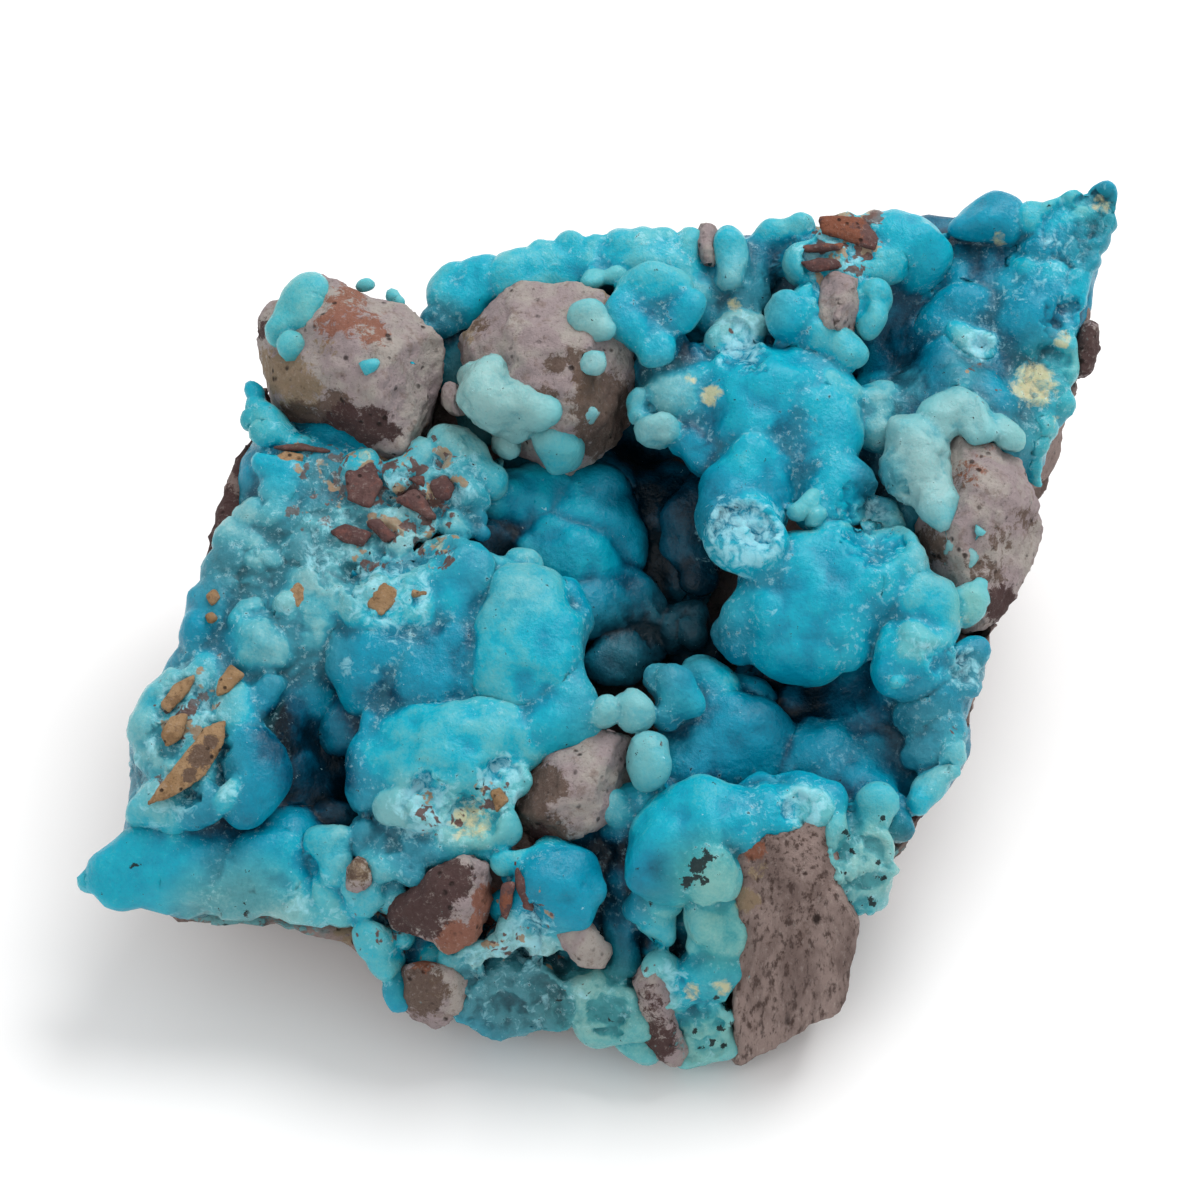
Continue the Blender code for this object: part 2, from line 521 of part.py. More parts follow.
def build():
    clear_scene()
    stone = collection("smithsonite_specimen")
    sockets = collection("fragment_cutters")
    seat = collection("crust_cutters")

    brown = material("brown_rock", BROWN, 0.85)
    grey = material("pink_grey_rock", PINK_GREY, 0.85)
    sand = material("sand_rock", SAND, 0.85)
    blue = material("smithsonite", BLUE, 0.3)

    pieces = {name: (fragment_corners(spec), grey) for name, spec in FRAGMENTS.items()}
    for name, (outline, lift, depth) in CHIPS.items():
        look = sand if name.startswith("chip_sand") else brown
        pieces[name] = (chip_corners(outline, lift, depth), look)
    for name, (corners, look) in pieces.items():
        add_object(name, hull(corners), stone, look)
        hide(add_object("cut_" + name, hull(grown(corners, FIT_GAP)), sockets))

    rock = add_object("host_rock", host_rock(0), stone, brown)
    cut(rock, sockets)

    crust = add_object("smithsonite_crust", crust_lumps(), stone, blue)
    remesh = crust.modifiers.new("one_surface", "REMESH")
    remesh.mode = "VOXEL"
    remesh.voxel_size = CRUST_VOXEL * MM
    thin = crust.modifiers.new("fewer_faces", "DECIMATE")
    thin.ratio = CRUST_SHARE_KEPT
    apply_modifiers(crust)
    hide(add_object("cut_host_rock", host_rock(SEAT_GAP), seat))
    add_floor_cutter(seat)
    cut(crust, seat)
    cut(crust, sockets)


build()
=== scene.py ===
"""Looks of a smithsonite specimen: a blue botryoidal crust grown over brown volcanic breccia.

Everything is laid out in millimetres in the model's own frame and turned to metres when a piece is made. Places
on the face of the stone are read in its picture: across and down its 1200-pixel frame, radii in its pixels
too, with a lift in millimetres towards the viewer from the plane that the stone's face follows.
"""

import itertools
import math

import bmesh
import bpy
import numpy as np
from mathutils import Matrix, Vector
from mathutils.bvhtree import BVHTree


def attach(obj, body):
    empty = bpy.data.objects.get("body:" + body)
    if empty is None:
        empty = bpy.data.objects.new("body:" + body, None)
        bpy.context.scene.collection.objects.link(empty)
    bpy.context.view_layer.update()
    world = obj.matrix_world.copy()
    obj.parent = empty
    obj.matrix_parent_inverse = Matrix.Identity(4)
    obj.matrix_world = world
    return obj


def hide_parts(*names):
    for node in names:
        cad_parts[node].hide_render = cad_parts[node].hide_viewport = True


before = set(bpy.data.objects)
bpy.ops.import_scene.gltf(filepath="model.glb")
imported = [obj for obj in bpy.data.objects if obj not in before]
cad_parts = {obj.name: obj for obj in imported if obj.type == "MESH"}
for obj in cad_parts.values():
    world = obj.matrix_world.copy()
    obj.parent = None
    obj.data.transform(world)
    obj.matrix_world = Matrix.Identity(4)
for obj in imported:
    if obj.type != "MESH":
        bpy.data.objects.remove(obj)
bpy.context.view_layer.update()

bl_info = {
    "name": "Smithsonite specimen",
    "version": (1, 0, 0),
    "blender": (4, 5, 0),
    "location": "View3D > Sidebar > Smithsonite",
    "description": "Botryoidal smithsonite crust on volcanic breccia, with its studio stage",
    "category": "Add Mesh",
}

MM = 0.001

# The picture of the stone
FRAME_PX = 1200
MM_PER_PX = 0.09
VIEW_ELEVATION = math.radians(50)
VIEW_DISTANCE = 400.0                   # mm
PICTURE_MIDDLE = (-0.88, 7.86, 15.0)    # mm
SIN_VIEW = math.sin(VIEW_ELEVATION)
COS_VIEW = math.cos(VIEW_ELEVATION)
TO_VIEWER = Vector((0, -COS_VIEW, SIN_VIEW))
EYE = Vector(PICTURE_MIDDLE) + TO_VIEWER * VIEW_DISTANCE

# The stone's face: it leans back from the viewer, and turns down to the table below its front crest
FACE_LIFT = 17.5            # mm towards the viewer at the picture's middle
FACE_SLOPE = 0.3            # mm away from the viewer for each mm up the picture
FRONT_CREST = 870           # pixels down the picture
FRONT_FALL = 0.75           # mm away from the viewer for each mm down the picture below the crest

# Tones of the crust, from the blue of a deep hollow to the pale water colour of a thin skin
# The darkest tone, given to lobes deep in hollows, is their blue darkened further by painted shade
DEEP_BLUE_SHADED = 0.12
BLUE = 0.34
TEAL = 0.52
BRIGHT = 0.68
AQUA = 0.80
PALE = 0.93

# The rock's rim in the picture, which bounds the crust's bed
RIM = [
    (262, 372), (250, 435), (222, 520), (200, 600), (165, 685), (140, 760), (122, 830), (112, 893), (180, 915),
    (270, 925), (345, 935), (400, 985), (460, 1015), (550, 1035), (650, 1050), (725, 1045), (795, 1010),
    (835, 965), (875, 890), (925, 812), (965, 740), (985, 670), (1003, 600), (1020, 530), (1046, 455),
    (1078, 390), (1092, 320), (1098, 245), (1080, 207), (960, 225), (830, 240), (690, 252), (550, 275),
    (440, 315), (340, 325),
]

# Where the bed lies deeper: (across, down, radius, mm)
HOLLOWS = [
    (640, 500, 75, 8), (690, 640, 55, 6), (300, 740, 55, 7), (930, 340, 55, 2), (885, 470, 40, 5),
    (800, 715, 75, 4), (625, 850, 40, 4), (690, 915, 25, 3), (560, 560, 60, 3), (340, 770, 25, 4),
]

# Where the host rock stays bare: (across, down, radius)
BARE = [
    (232, 470, 58), (222, 510, 52), (200, 585, 30), (1000, 560, 46), (985, 640, 20), (800, 940, 60),
    (1085, 380, 24),
]
BED_STEP = 28               # pixels
BED_MARGIN = 38             # pixels
BED_RADIUS = 40             # pixels
BED_LIFT = -3.5             # mm
BED_DROP = 2.4              # mm from the crowns of the lobes round about down to the bed
BED_REACH = 24              # pixels over which lobes lift the bed with them
BED_BACK = 31.0             # mm
BED_TONE = 0.50
BED_MELT = 1.6              # mm
BED_CROWN = 30              # pixels, the radius of a ball that lifts the bed with strength 1
BED_SHARE = 0.12            # how strongly the bed keeps its own level
BED_COVER = 0.5             # mm, the least depth in the host rock of the foot of a ball of the bed

# Lobes of the crust. Each has a melt in mm, a tone and its balls (across, down, radius, lift of the crown); its
# balls run into one another over the melt, while lobes meet each other in sharp seams.
BACK_RIDGE = [
    (0.8, BRIGHT, [(482, 284, 28, 0.2), (462, 302, 25, 0.0)]),
    (0.4, AQUA, [(446, 290, 15, -0.3), (452, 278, 12, -0.1)]),
    (0.4, BLUE, [(440, 314, 14, -1.0), (452, 318, 16, -1.0)]),
    (0.3, PALE, [(428, 326, 8, -0.4)]),
    (0.4, PALE, [(365, 288, 9, -1.4), (394, 297, 6, -1.2), (402, 303, 6, -1.0)]),
    (1.2, AQUA, [(528, 276, 22, 0.0), (560, 270, 26, 0.2), (590, 268, 26, 0.4), (508, 285, 18, 0.0)]),
    (0.4, AQUA, [(574, 244, 15, 0.5), (598, 243, 13, 0.7), (588, 255, 14, 0.7)]),
    (0.4, AQUA, [(540, 254, 11, -0.1), (552, 262, 10, 0.1)]),
    (0.4, PALE, [(592, 279, 12, 1.8), (612, 279, 11, 2.0)]),
    (1.4, AQUA, [(634, 266, 32, 0.4), (668, 272, 32, 0.2), (700, 292, 30, -0.2), (622, 262, 24, 0.6)]),
    (0.4, AQUA, [(642, 242, 14, 0.6), (664, 243, 14, 0.8), (655, 250, 12, 0.9)]),
    (0.4, AQUA, [(690, 240, 13, 0.8), (684, 250, 12, 0.8)]),
    (0.6, AQUA, [(655, 292, 25, 4.0), (672, 285, 18, 3.8), (636, 300, 22, 3.6)]),
    (0.5, BRIGHT, [(680, 314, 22, 3.6), (688, 308, 14, 3.4)]),
    (0.6, BRIGHT, [(640, 325, 31, 3.8), (628, 312, 20, 3.6)]),
    (0.5, BRIGHT, [(663, 344, 20, 3.0), (650, 350, 16, 2.8)]),
    (0.6, AQUA, [(732, 246, 20, 2.2), (734, 264, 19, 2.0), (728, 280, 13, 1.6)]),
    (0.8, TEAL, [(752, 284, 22, 0.2), (745, 302, 22, -0.2), (764, 262, 26, 0.0), (720, 312, 26, -0.6)]),
    (0.4, PALE, [(738, 334, 22, 0.8), (722, 340, 14, 0.6), (752, 330, 14, 0.6)]),
    (0.8, AQUA, [(772, 238, 17, 0.5), (798, 230, 17, 0.9), (840, 226, 16, 1.0), (872, 228, 15, 1.0)]),
    (0.5, AQUA, [(808, 264, 24, 2.2), (832, 252, 24, 2.2), (858, 262, 24, 2.2), (884, 262, 20, 1.8)]),
    (0.5, AQUA, [(842, 298, 28, 2.6), (816, 308, 24, 2.6), (872, 300, 18, 2.2), (868, 322, 14, 2.2)]),
    (0.5, BRIGHT, [(794, 316, 24, 3.4), (790, 326, 18, 3.2)]),
    (0.6, AQUA, [(848, 354, 18, 2.8), (832, 342, 18, 2.8), (812, 334, 16, 2.8)]),
    (1.4, BRIGHT, [(902, 240, 27, 0.8), (925, 250, 22, 0.0), (892, 246, 20, 1.0), (912, 268, 28, -0.8)]),
    (1.4, BLUE, [(905, 296, 30, -3.8), (935, 282, 30, -4.2), (962, 268, 28, -3.4), (985, 262, 26, -2.6)]),
    (1.0, DEEP_BLUE_SHADED, [(882, 330, 26, -6.0), (890, 360, 22, -6.4), (770, 350, 22, -2.0)]),
    (1.6, BLUE, [(560, 292, 30, -4.5), (600, 288, 30, -4.5), (650, 280, 30, -4.5), (700, 272, 30, -4.5),
                 (740, 268, 30, -4.5), (780, 264, 30, -4.5), (820, 260, 30, -4.5), (860, 256, 30, -4.5),
                 (900, 252, 30, -4.5), (940, 248, 30, -4.5), (985, 242, 30, -4.5), (1030, 236, 26, -4.0)]),
]
RIGHT_SHOULDER = [
    (0.7, TEAL, [(984, 219, 22, 0.4), (1006, 224, 24, 0.2), (965, 226, 16, 0.0)]),
    (0.6, AQUA, [(1052, 218, 20, 0.8), (1075, 208, 17, 0.8), (1030, 214, 13, 0.6)]),
    (0.6, TEAL, [(1103, 200, 15, 0.6), (1104, 222, 14, 0.4), (1098, 242, 15, 0.2), (1108, 192, 9, 0.6)]),
    (0.6, TEAL, [(1070, 244, 26, 0.6), (1046, 248, 22, 0.4), (1086, 262, 14, 0.2)]),
    (0.5, AQUA, [(1030, 270, 20, 0.0), (1052, 278, 18, 0.2), (1010, 286, 15, -0.6)]),
    (0.5, BRIGHT, [(1080, 285, 14, 0.0), (1072, 305, 18, 0.0), (1070, 330, 16, -0.2)]),
    (1.4, TEAL, [(1036, 318, 36, -0.4), (1020, 335, 30, -0.8), (1050, 338, 26, -0.4), (1040, 296, 26, -0.2)]),
    (0.8, TEAL, [(962, 318, 32, -1.0), (980, 312, 24, -0.8), (945, 334, 22, -1.8)]),
    (0.4, PALE, [(982, 344, 15, -0.4), (968, 338, 14, -0.6), (990, 336, 10, -0.4)]),
    (0.8, BLUE, [(928, 355, 34, -4.8), (905, 340, 24, -5.4)]),
    (0.4, AQUA, [(964, 364, 18, -2.8), (982, 372, 13, -2.8)]),
    (0.4, AQUA, [(905, 386, 14, -4.4), (925, 390, 12, -4.4), (894, 392, 11, -4.2)]),
    (1.2, TEAL, [(1004, 402, 32, -1.4), (1030, 412, 26, -1.4), (1040, 386, 26, -0.8), (1014, 440, 16, -2.2)]),
    (0.5, AQUA, [(1058, 368, 18, -0.4), (1066, 350, 12, -0.2), (1058, 396, 12, -0.8)]),
    (0.5, AQUA, [(1044, 428, 13, -1.4), (1038, 446, 13, -2.0), (1034, 468, 11, -3.0), (1036, 484, 8, -3.6)]),
]
CENTRE_MASS = [
    (1.8, BRIGHT, [(752, 386, 44, 2.0), (738, 424, 42, 2.4), (792, 396, 40, 1.8), (770, 440, 46, 2.8)]),
    (1.2, BRIGHT, [(808, 434, 46, 2.6), (832, 420, 28, 2.0), (812, 462, 34, 2.4)]),
    (0.8, AQUA, [(828, 388, 26, 1.8), (846, 398, 20, 1.4), (812, 380, 22, 1.6)]),
    (1.2, BRIGHT, [(752, 474, 40, 3.6), (745, 500, 38, 4.6), (742, 532, 38, 5.2), (758, 548, 28, 4.8)]),
    (0.6, BRIGHT, [(772, 572, 21, 3.6), (762, 560, 22, 4.0)]),
    (0.9, BRIGHT, [(832, 486, 34, 2.4), (822, 504, 28, 2.2), (846, 500, 22, 2.0)]),
    (0.3, PALE, [(800, 506, 10, 3.8), (808, 498, 10, 3.8)]),
    (0.3, PALE, [(818, 514, 9, 3.4)]),
    (0.8, TEAL, [(702, 448, 28, 1.8), (690, 436, 20, 1.6)]),
    (1.0, BLUE, [(655, 376, 26, 0.2), (690, 366, 26, 0.4)]),
    (0.8, AQUA, [(664, 392, 26, 1.0), (690, 402, 26, 1.4), (706, 384, 22, 1.2)]),
    (0.3, PALE, [(656, 428, 19, 2.8)]),
    (0.4, AQUA, [(636, 396, 13, 1.6), (640, 412, 9, 1.4)]),
    (0.5, AQUA, [(872, 404, 21, 0.4), (878, 430, 22, 0.0), (886, 390, 12, 0.0)]),
    (0.4, AQUA, [(876, 514, 16, -0.4), (888, 522, 11, -0.8), (868, 508, 12, -0.4)]),
    (0.4, PALE, [(832, 538, 16, 2.4), (846, 534, 10, 2.0)]),
    (1.0, PALE, [(920, 446, 28, 3.4), (905, 466, 22, 3.0), (926, 478, 28, 3.6), (936, 500, 20, 3.6),
                 (938, 518, 11, 3.4), (900, 482, 14, 2.6), (908, 432, 14, 2.4)]),
    (0.6, PALE, [(940, 418, 21, 3.2), (956, 408, 19, 3.2), (975, 412, 16, 3.2), (980, 430, 15, 3.6)]),
    (0.4, PALE, [(1000, 432, 17, 3.0), (1012, 438, 12, 2.4)]),
]
CENTRE_HOLLOW = [
    (1.6, BRIGHT, [(592, 520, 44, -5.6), (560, 516, 34, -5.0), (612, 545, 34, -6.2), (580, 500, 30, -6.0)]),
    (1.4, BRIGHT, [(570, 560, 40, -4.6), (545, 548, 34, -4.2), (590, 578, 30, -5.4)]),
    (1.4, TEAL, [(612, 600, 40, -6.4), (580, 610, 30, -5.4), (640, 610, 28, -7.4)]),
    (1.0, BRIGHT, [(520, 500, 34, -3.6), (492, 488, 24, -2.2), (546, 490, 26, -4.2)]),
    (1.0, DEEP_BLUE_SHADED, [(500, 535, 24, -4.6), (480, 545, 20, -4.0)]),
    (0.6, TEAL, [(622, 655, 28, -6.8), (640, 640, 22, -7.4), (605, 668, 20, -6.6)]),
    (0.6, TEAL, [(672, 624, 24, -7.8), (694, 622, 18, -7.8), (700, 634, 12, -7.6)]),
    (0.9, BLUE, [(688, 512, 28, -5.2), (686, 545, 26, -5.8), (698, 575, 22, -6.6), (702, 500, 22, -5.4)]),
    (1.2, DEEP_BLUE_SHADED, [(640, 470, 44, -12.5), (650, 560, 34, -12.0), (600, 480, 36, -12.0), (700, 650, 30, -9.0)]),
]
LEFT_MIDDLE = [
    (1.8, AQUA, [(528, 640, 48, 2.0), (520, 605, 34, 1.8), (512, 668, 40, 1.8), (538, 672, 34, 1.6)]),
    (1.0, TEAL, [(556, 630, 28, 1.0), (560, 660, 24, 1.0), (570, 690, 22, 1.0)]),
    (0.5, AQUA, [(522, 563, 16, 0.2)]),
    (0.7, AQUA, [(500, 580, 22, 0.8), (530, 590, 18, 0.8), (484, 572, 14, 0.8)]),
    (0.6, TEAL, [(560, 604, 20, 0.2), (574, 620, 18, 0.0)]),
    (1.6, BRIGHT, [(450, 582, 34, 1.8), (458, 620, 36, 1.2), (436, 566, 18, 1.8), (470, 575, 16, 1.4)]),
    (0.8, AQUA, [(388, 600, 44, 2.8), (414, 592, 26, 2.6), (362, 608, 28, 2.4)]),
    (0.8, TEAL, [(378, 664, 42, 1.2), (356, 656, 34, 0.8), (396, 648, 34, 1.6), (368, 690, 24, 0.2)]),
    (1.6, TEAL, [(440, 680, 46, 0.8), (462, 655, 38, 1.0), (420, 700, 36, 0.6), (425, 650, 34, 1.0)]),
    (1.8, AQUA, [(448, 764, 48, 1.8), (408, 760, 46, 1.4), (480, 748, 42, 2.0), (520, 738, 32, 1.6)]),
    (0.8, TEAL, [(378, 750, 28, 0.4), (372, 790, 25, 0.2), (384, 722, 22, 0.2)]),
    (0.6, BRIGHT, [(490, 722, 24, 2.0), (470, 728, 20, 1.9)]),
    (1.2, BRIGHT, [(562, 710, 33, 1.8), (546, 724, 26, 1.8), (578, 725, 20, 1.4)]),
    (1.0, BLUE, [(352, 712, 28, -2.4), (345, 735, 18, -4.0)]),
    (0.5, PALE, [(506, 780, 22, 1.6), (492, 798, 18, 1.4), (520, 775, 14, 1.6)]),
    (0.5, PALE, [(470, 822, 26, 1.0), (452, 832, 18, 0.8), (496, 826, 20, 0.8)]),
    (0.6, PALE, [(420, 802, 26, 1.6), (402, 804, 20, 1.2), (438, 790, 20, 1.6)]),
]
LEFT_SHOULDER = [
    (0.4, BRIGHT, [(257, 388, 10, -1.2), (262, 406, 12, -1.0), (254, 422, 10, -1.0)]),
    (0.5, AQUA, [(272, 414, 14, -0.6), (284, 432, 16, -0.4), (268, 436, 12, -0.4), (300, 440, 10, -0.2)]),
    (0.5, BRIGHT, [(285, 480, 22, 0.8), (276, 496, 16, 0.8), (271, 514, 10, 0.8), (266, 466, 12, 0.6)]),
    (0.8, BLUE, [(318, 484, 26, -0.4), (312, 505, 22, -0.4), (330, 466, 18, -0.2)]),
    (0.5, AQUA, [(345, 520, 22, 0.8), (385, 525, 24, 1.0), (418, 522, 24, 1.0), (366, 500, 22, 0.9)]),
    (0.5, AQUA, [(400, 480, 22, 0.9), (438, 492, 20, 0.9), (420, 462, 16, 0.9), (362, 474, 22, 0.9)]),
    (0.5, AQUA, [(360, 552, 24, 1.1), (330, 560, 20, 1.1), (392, 552, 22, 1.1), (314, 532, 20, 0.7)]),
    (0.6, AQUA, [(452, 446, 22, 1.4), (470, 462, 22, 1.0), (486, 478, 18, 0.4)]),
    (0.4, BRIGHT, [(460, 476, 16, 1.2), (470, 498, 16, 0.8)]),
    (0.4, AQUA, [(456, 524, 17, 0.8), (462, 530, 13, 0.7)]),
    (0.3, TEAL, [(482, 532, 9, 0.0), (478, 518, 8, 0.0)]),
    (0.6, AQUA, [(252, 520, 20, 0.4), (236, 538, 18, 0.2), (262, 545, 16, 0.6), (280, 522, 18, 0.5)]),
    (0.6, TEAL, [(232, 562, 22, 0.2), (222, 576, 18, 0.0)]),
    (0.4, AQUA, [(258, 562, 13, 0.8), (274, 560, 13, 0.8)]),
    (0.3, TEAL, [(300, 556, 19, 1.4), (308, 560, 14, 1.3)]),
    (0.8, BLUE, [(248, 585, 20, -0.6), (268, 586, 18, -0.4)]),
    (1.0, TEAL, [(212, 610, 28, 0.2), (202, 638, 24, 0.0), (222, 590, 18, 0.2)]),
    (0.4, AQUA, [(248, 614, 14, 1.0), (238, 624, 11, 0.9)]),
    (0.9, AQUA, [(246, 648, 24, 1.0), (262, 636, 24, 1.0), (272, 654, 20, 0.9)]),
    (1.2, AQUA, [(312, 612, 28, 1.0), (300, 634, 28, 0.6), (330, 596, 24, 1.2), (300, 590, 20, 1.2)]),
    (0.3, PALE, [(287, 606, 13, 1.7)]),
    (1.2, TEAL, [(312, 660, 26, -1.6), (300, 668, 22, -1.6), (330, 640, 22, -0.8)]),
    (0.5, TEAL, [(270, 692, 22, 0.8), (264, 700, 20, 0.8)]),
    (0.8, AQUA, [(236, 698, 26, 1.0), (242, 722, 24, 1.0)]),
    (0.9, TEAL, [(256, 772, 30, 1.2), (248, 796, 28, 1.0), (248, 750, 26, 1.1)]),
    (0.6, AQUA, [(168, 702, 26, 0.4), (156, 730, 24, 0.2), (152, 762, 20, 0.0), (178, 684, 16, 0.5)]),
    (0.6, AQUA, [(195, 690, 24, 0.7), (212, 672, 18, 0.8), (188, 736, 30, 0.8), (208, 740, 28, 0.9)]),
    (0.6, AQUA, [(186, 770, 26, 0.7), (156, 798, 18, -0.2), (146, 812, 15, -0.6), (170, 814, 16, -0.4)]),
    (0.4, TEAL, [(196, 800, 20, 1.0), (186, 806, 14, 0.7), (210, 802, 15, 1.0)]),
    (0.3, PALE, [(228, 792, 11, 1.6), (222, 800, 9, 1.5)]),
    (1.6, DEEP_BLUE_SHADED, [(292, 720, 32, -7.5), (300, 760, 34, -8.0), (310, 800, 34, -7.0), (340, 820, 20, -5.0)]),
]
LEFT_TIP = [
    (2.0, BRIGHT, [(170, 866, 38, -2.8), (142, 870, 31, -3.2), (206, 860, 38, -2.8), (116, 876, 19, -3.8)]),
    (1.2, AQUA, [(104, 878, 11, -4.4), (92, 879, 8, -4.8)]),
    (1.6, BRIGHT, [(246, 872, 36, -3.2), (276, 866, 34, -3.2), (222, 882, 26, -3.2), (252, 890, 22, -3.0)]),
    (1.4, TEAL, [(260, 834, 30, -4.2), (300, 836, 30, -4.6), (232, 836, 22, -4.0), (290, 850, 22, -4.0)]),
    (0.5, PALE, [(294, 902, 22, -2.4), (270, 906, 15, -2.8), (314, 908, 18, -2.4)]),
    (0.5, PALE, [(334, 902, 18, -2.0), (322, 892, 16, -2.0), (345, 912, 12, -1.8)]),
    (0.5, AQUA, [(236, 904, 12, -3.0), (214, 906, 12, -3.2), (190, 906, 12, -3.6)]),
    (0.6, AQUA, [(326, 852, 24, -1.8), (338, 842, 14, -1.6), (330, 872, 18, -1.8)]),
    (0.5, TEAL, [(368, 838, 20, -1.2), (385, 856, 20, -0.8), (398, 836, 20, -1.0)]),
    (0.5, TEAL, [(420, 846, 22, -0.4), (440, 850, 18, -0.2), (408, 868, 18, -0.4), (460, 846, 16, 0.0)]),
    (0.4, AQUA, [(360, 902, 17, -0.6), (372, 890, 14, -0.6), (352, 888, 12, -0.8)]),
    (0.4, AQUA, [(386, 872, 14, -0.4), (376, 862, 12, -0.6)]),
    (0.5, AQUA, [(376, 944, 18, 0.2), (386, 964, 16, 0.0), (366, 934, 14, 0.2)]),
    (0.5, TEAL, [(394, 984, 13, -0.2), (400, 996, 11, -0.4)]),
]
LOWER_MIDDLE = [
    (0.4, AQUA, [(392, 893, 16, -1.4), (398, 868, 14, -1.2), (404, 938, 13, -1.0)]),
    (0.5, TEAL, [(506, 902, 17, -1.4), (502, 934, 16, -1.2), (514, 870, 16, -1.6)]),
    (0.5, AQUA, [(470, 843, 16, -0.6), (492, 852, 15, -0.8)]),
    (0.5, AQUA, [(438, 962, 16, -1.0), (468, 968, 16, -0.8)]),
    (1.0, BLUE, [(590, 850, 24, -3.4), (608, 880, 25, -3.4), (598, 912, 22, -2.8), (576, 940, 20, -2.0)]),
    (1.0, BLUE, [(690, 914, 22, -2.4), (694, 948, 20, -1.8), (682, 976, 18, -1.4)]),
    (1.0, BLUE, [(650, 940, 24, -2.6), (640, 905, 24, -3.0), (655, 975, 20, -1.6)]),
    (0.2, PALE, [(632, 712, 20, 2.8)]),
    (0.2, PALE, [(603, 713, 13, 2.6)]),
    (0.6, PALE, [(648, 756, 19, 2.8), (654, 770, 18, 2.6)]),
    (0.9, BRIGHT, [(674, 682, 17, 1.8), (682, 704, 19, 1.8)]),
    (0.5, TEAL, [(662, 682, 16, 1.0), (668, 715, 16, 1.2)]),
    (0.8, AQUA, [(704, 684, 25, -1.8), (714, 694, 22, -2.0)]),
    (1.8, TEAL, [(704, 738, 44, -1.8), (736, 742, 42, -2.4), (690, 766, 32, -1.6), (762, 750, 34, -3.2)]),
    (0.8, TEAL, [(754, 704, 26, -4.0), (742, 690, 18, -3.6)]),
    (1.4, BLUE, [(806, 716, 44, -5.6), (834, 700, 34, -6.2), (790, 696, 30, -6.0)]),
    (1.6, TEAL, [(848, 760, 32, -3.8), (826, 768, 32, -3.6), (800, 772, 26, -3.4), (820, 745, 34, -4.4)]),
    (1.2, TEAL, [(640, 812, 28, -1.8), (620, 832, 24, -2.2), (662, 800, 20, -0.8)]),
    (0.5, AQUA, [(608, 806, 14, -0.6), (622, 812, 16, -0.9)]),
    (1.4, DEEP_BLUE_SHADED, [(886, 740, 28, -6.0), (892, 780, 22, -4.0), (860, 700, 24, -7.0)]),
]
RIGHT_MIDDLE = [
    (2.2, BRIGHT, [(790, 602, 55, 2.0), (832, 602, 56, 2.4), (852, 584, 44, 2.6), (806, 632, 44, 2.0)]),
    (1.6, BRIGHT, [(842, 634, 36, 2.4), (872, 572, 40, 2.8), (762, 622, 38, 1.4), (896, 600, 30, 2.6)]),
    (0.5, TEAL, [(734, 632, 20, 0.2), (740, 646, 14, 0.0), (738, 614, 16, 0.4)]),
    (0.9, AQUA, [(890, 556, 24, 3.0), (904, 574, 22, 3.0), (876, 546, 20, 2.8)]),
    (0.8, AQUA, [(922, 596, 24, 3.0), (936, 606, 20, 2.8), (934, 630, 24, 2.8), (918, 612, 24, 3.2)]),
    (1.0, BRIGHT, [(916, 650, 32, 3.2), (904, 668, 27, 2.9), (930, 664, 24, 2.4)]),
    (0.5, PALE, [(916, 634, 14, 4.0), (914, 652, 14, 4.0), (922, 645, 13, 4.0)]),
    (0.2, PALE, [(899, 681, 6, 3.3)]),
    (0.9, TEAL, [(936, 704, 32, 0.0), (918, 712, 22, -0.8), (948, 690, 24, 0.4)]),
    (0.6, TEAL, [(966, 668, 17, 0.8), (972, 690, 12, 0.4), (976, 652, 12, 0.8)]),
    (0.7, TEAL, [(930, 742, 27, -1.2), (944, 732, 22, -0.8), (922, 754, 18, -1.6)]),
    (0.4, AQUA, [(955, 758, 11, -0.8), (954, 776, 9, -1.0)]),
    (0.5, AQUA, [(930, 790, 18, -0.8), (920, 804, 14, -1.0), (942, 782, 14, -0.9)]),
    (0.4, PALE, [(968, 600, 15, 1.4), (966, 618, 11, 1.2), (978, 586, 9, 1.2)]),
]
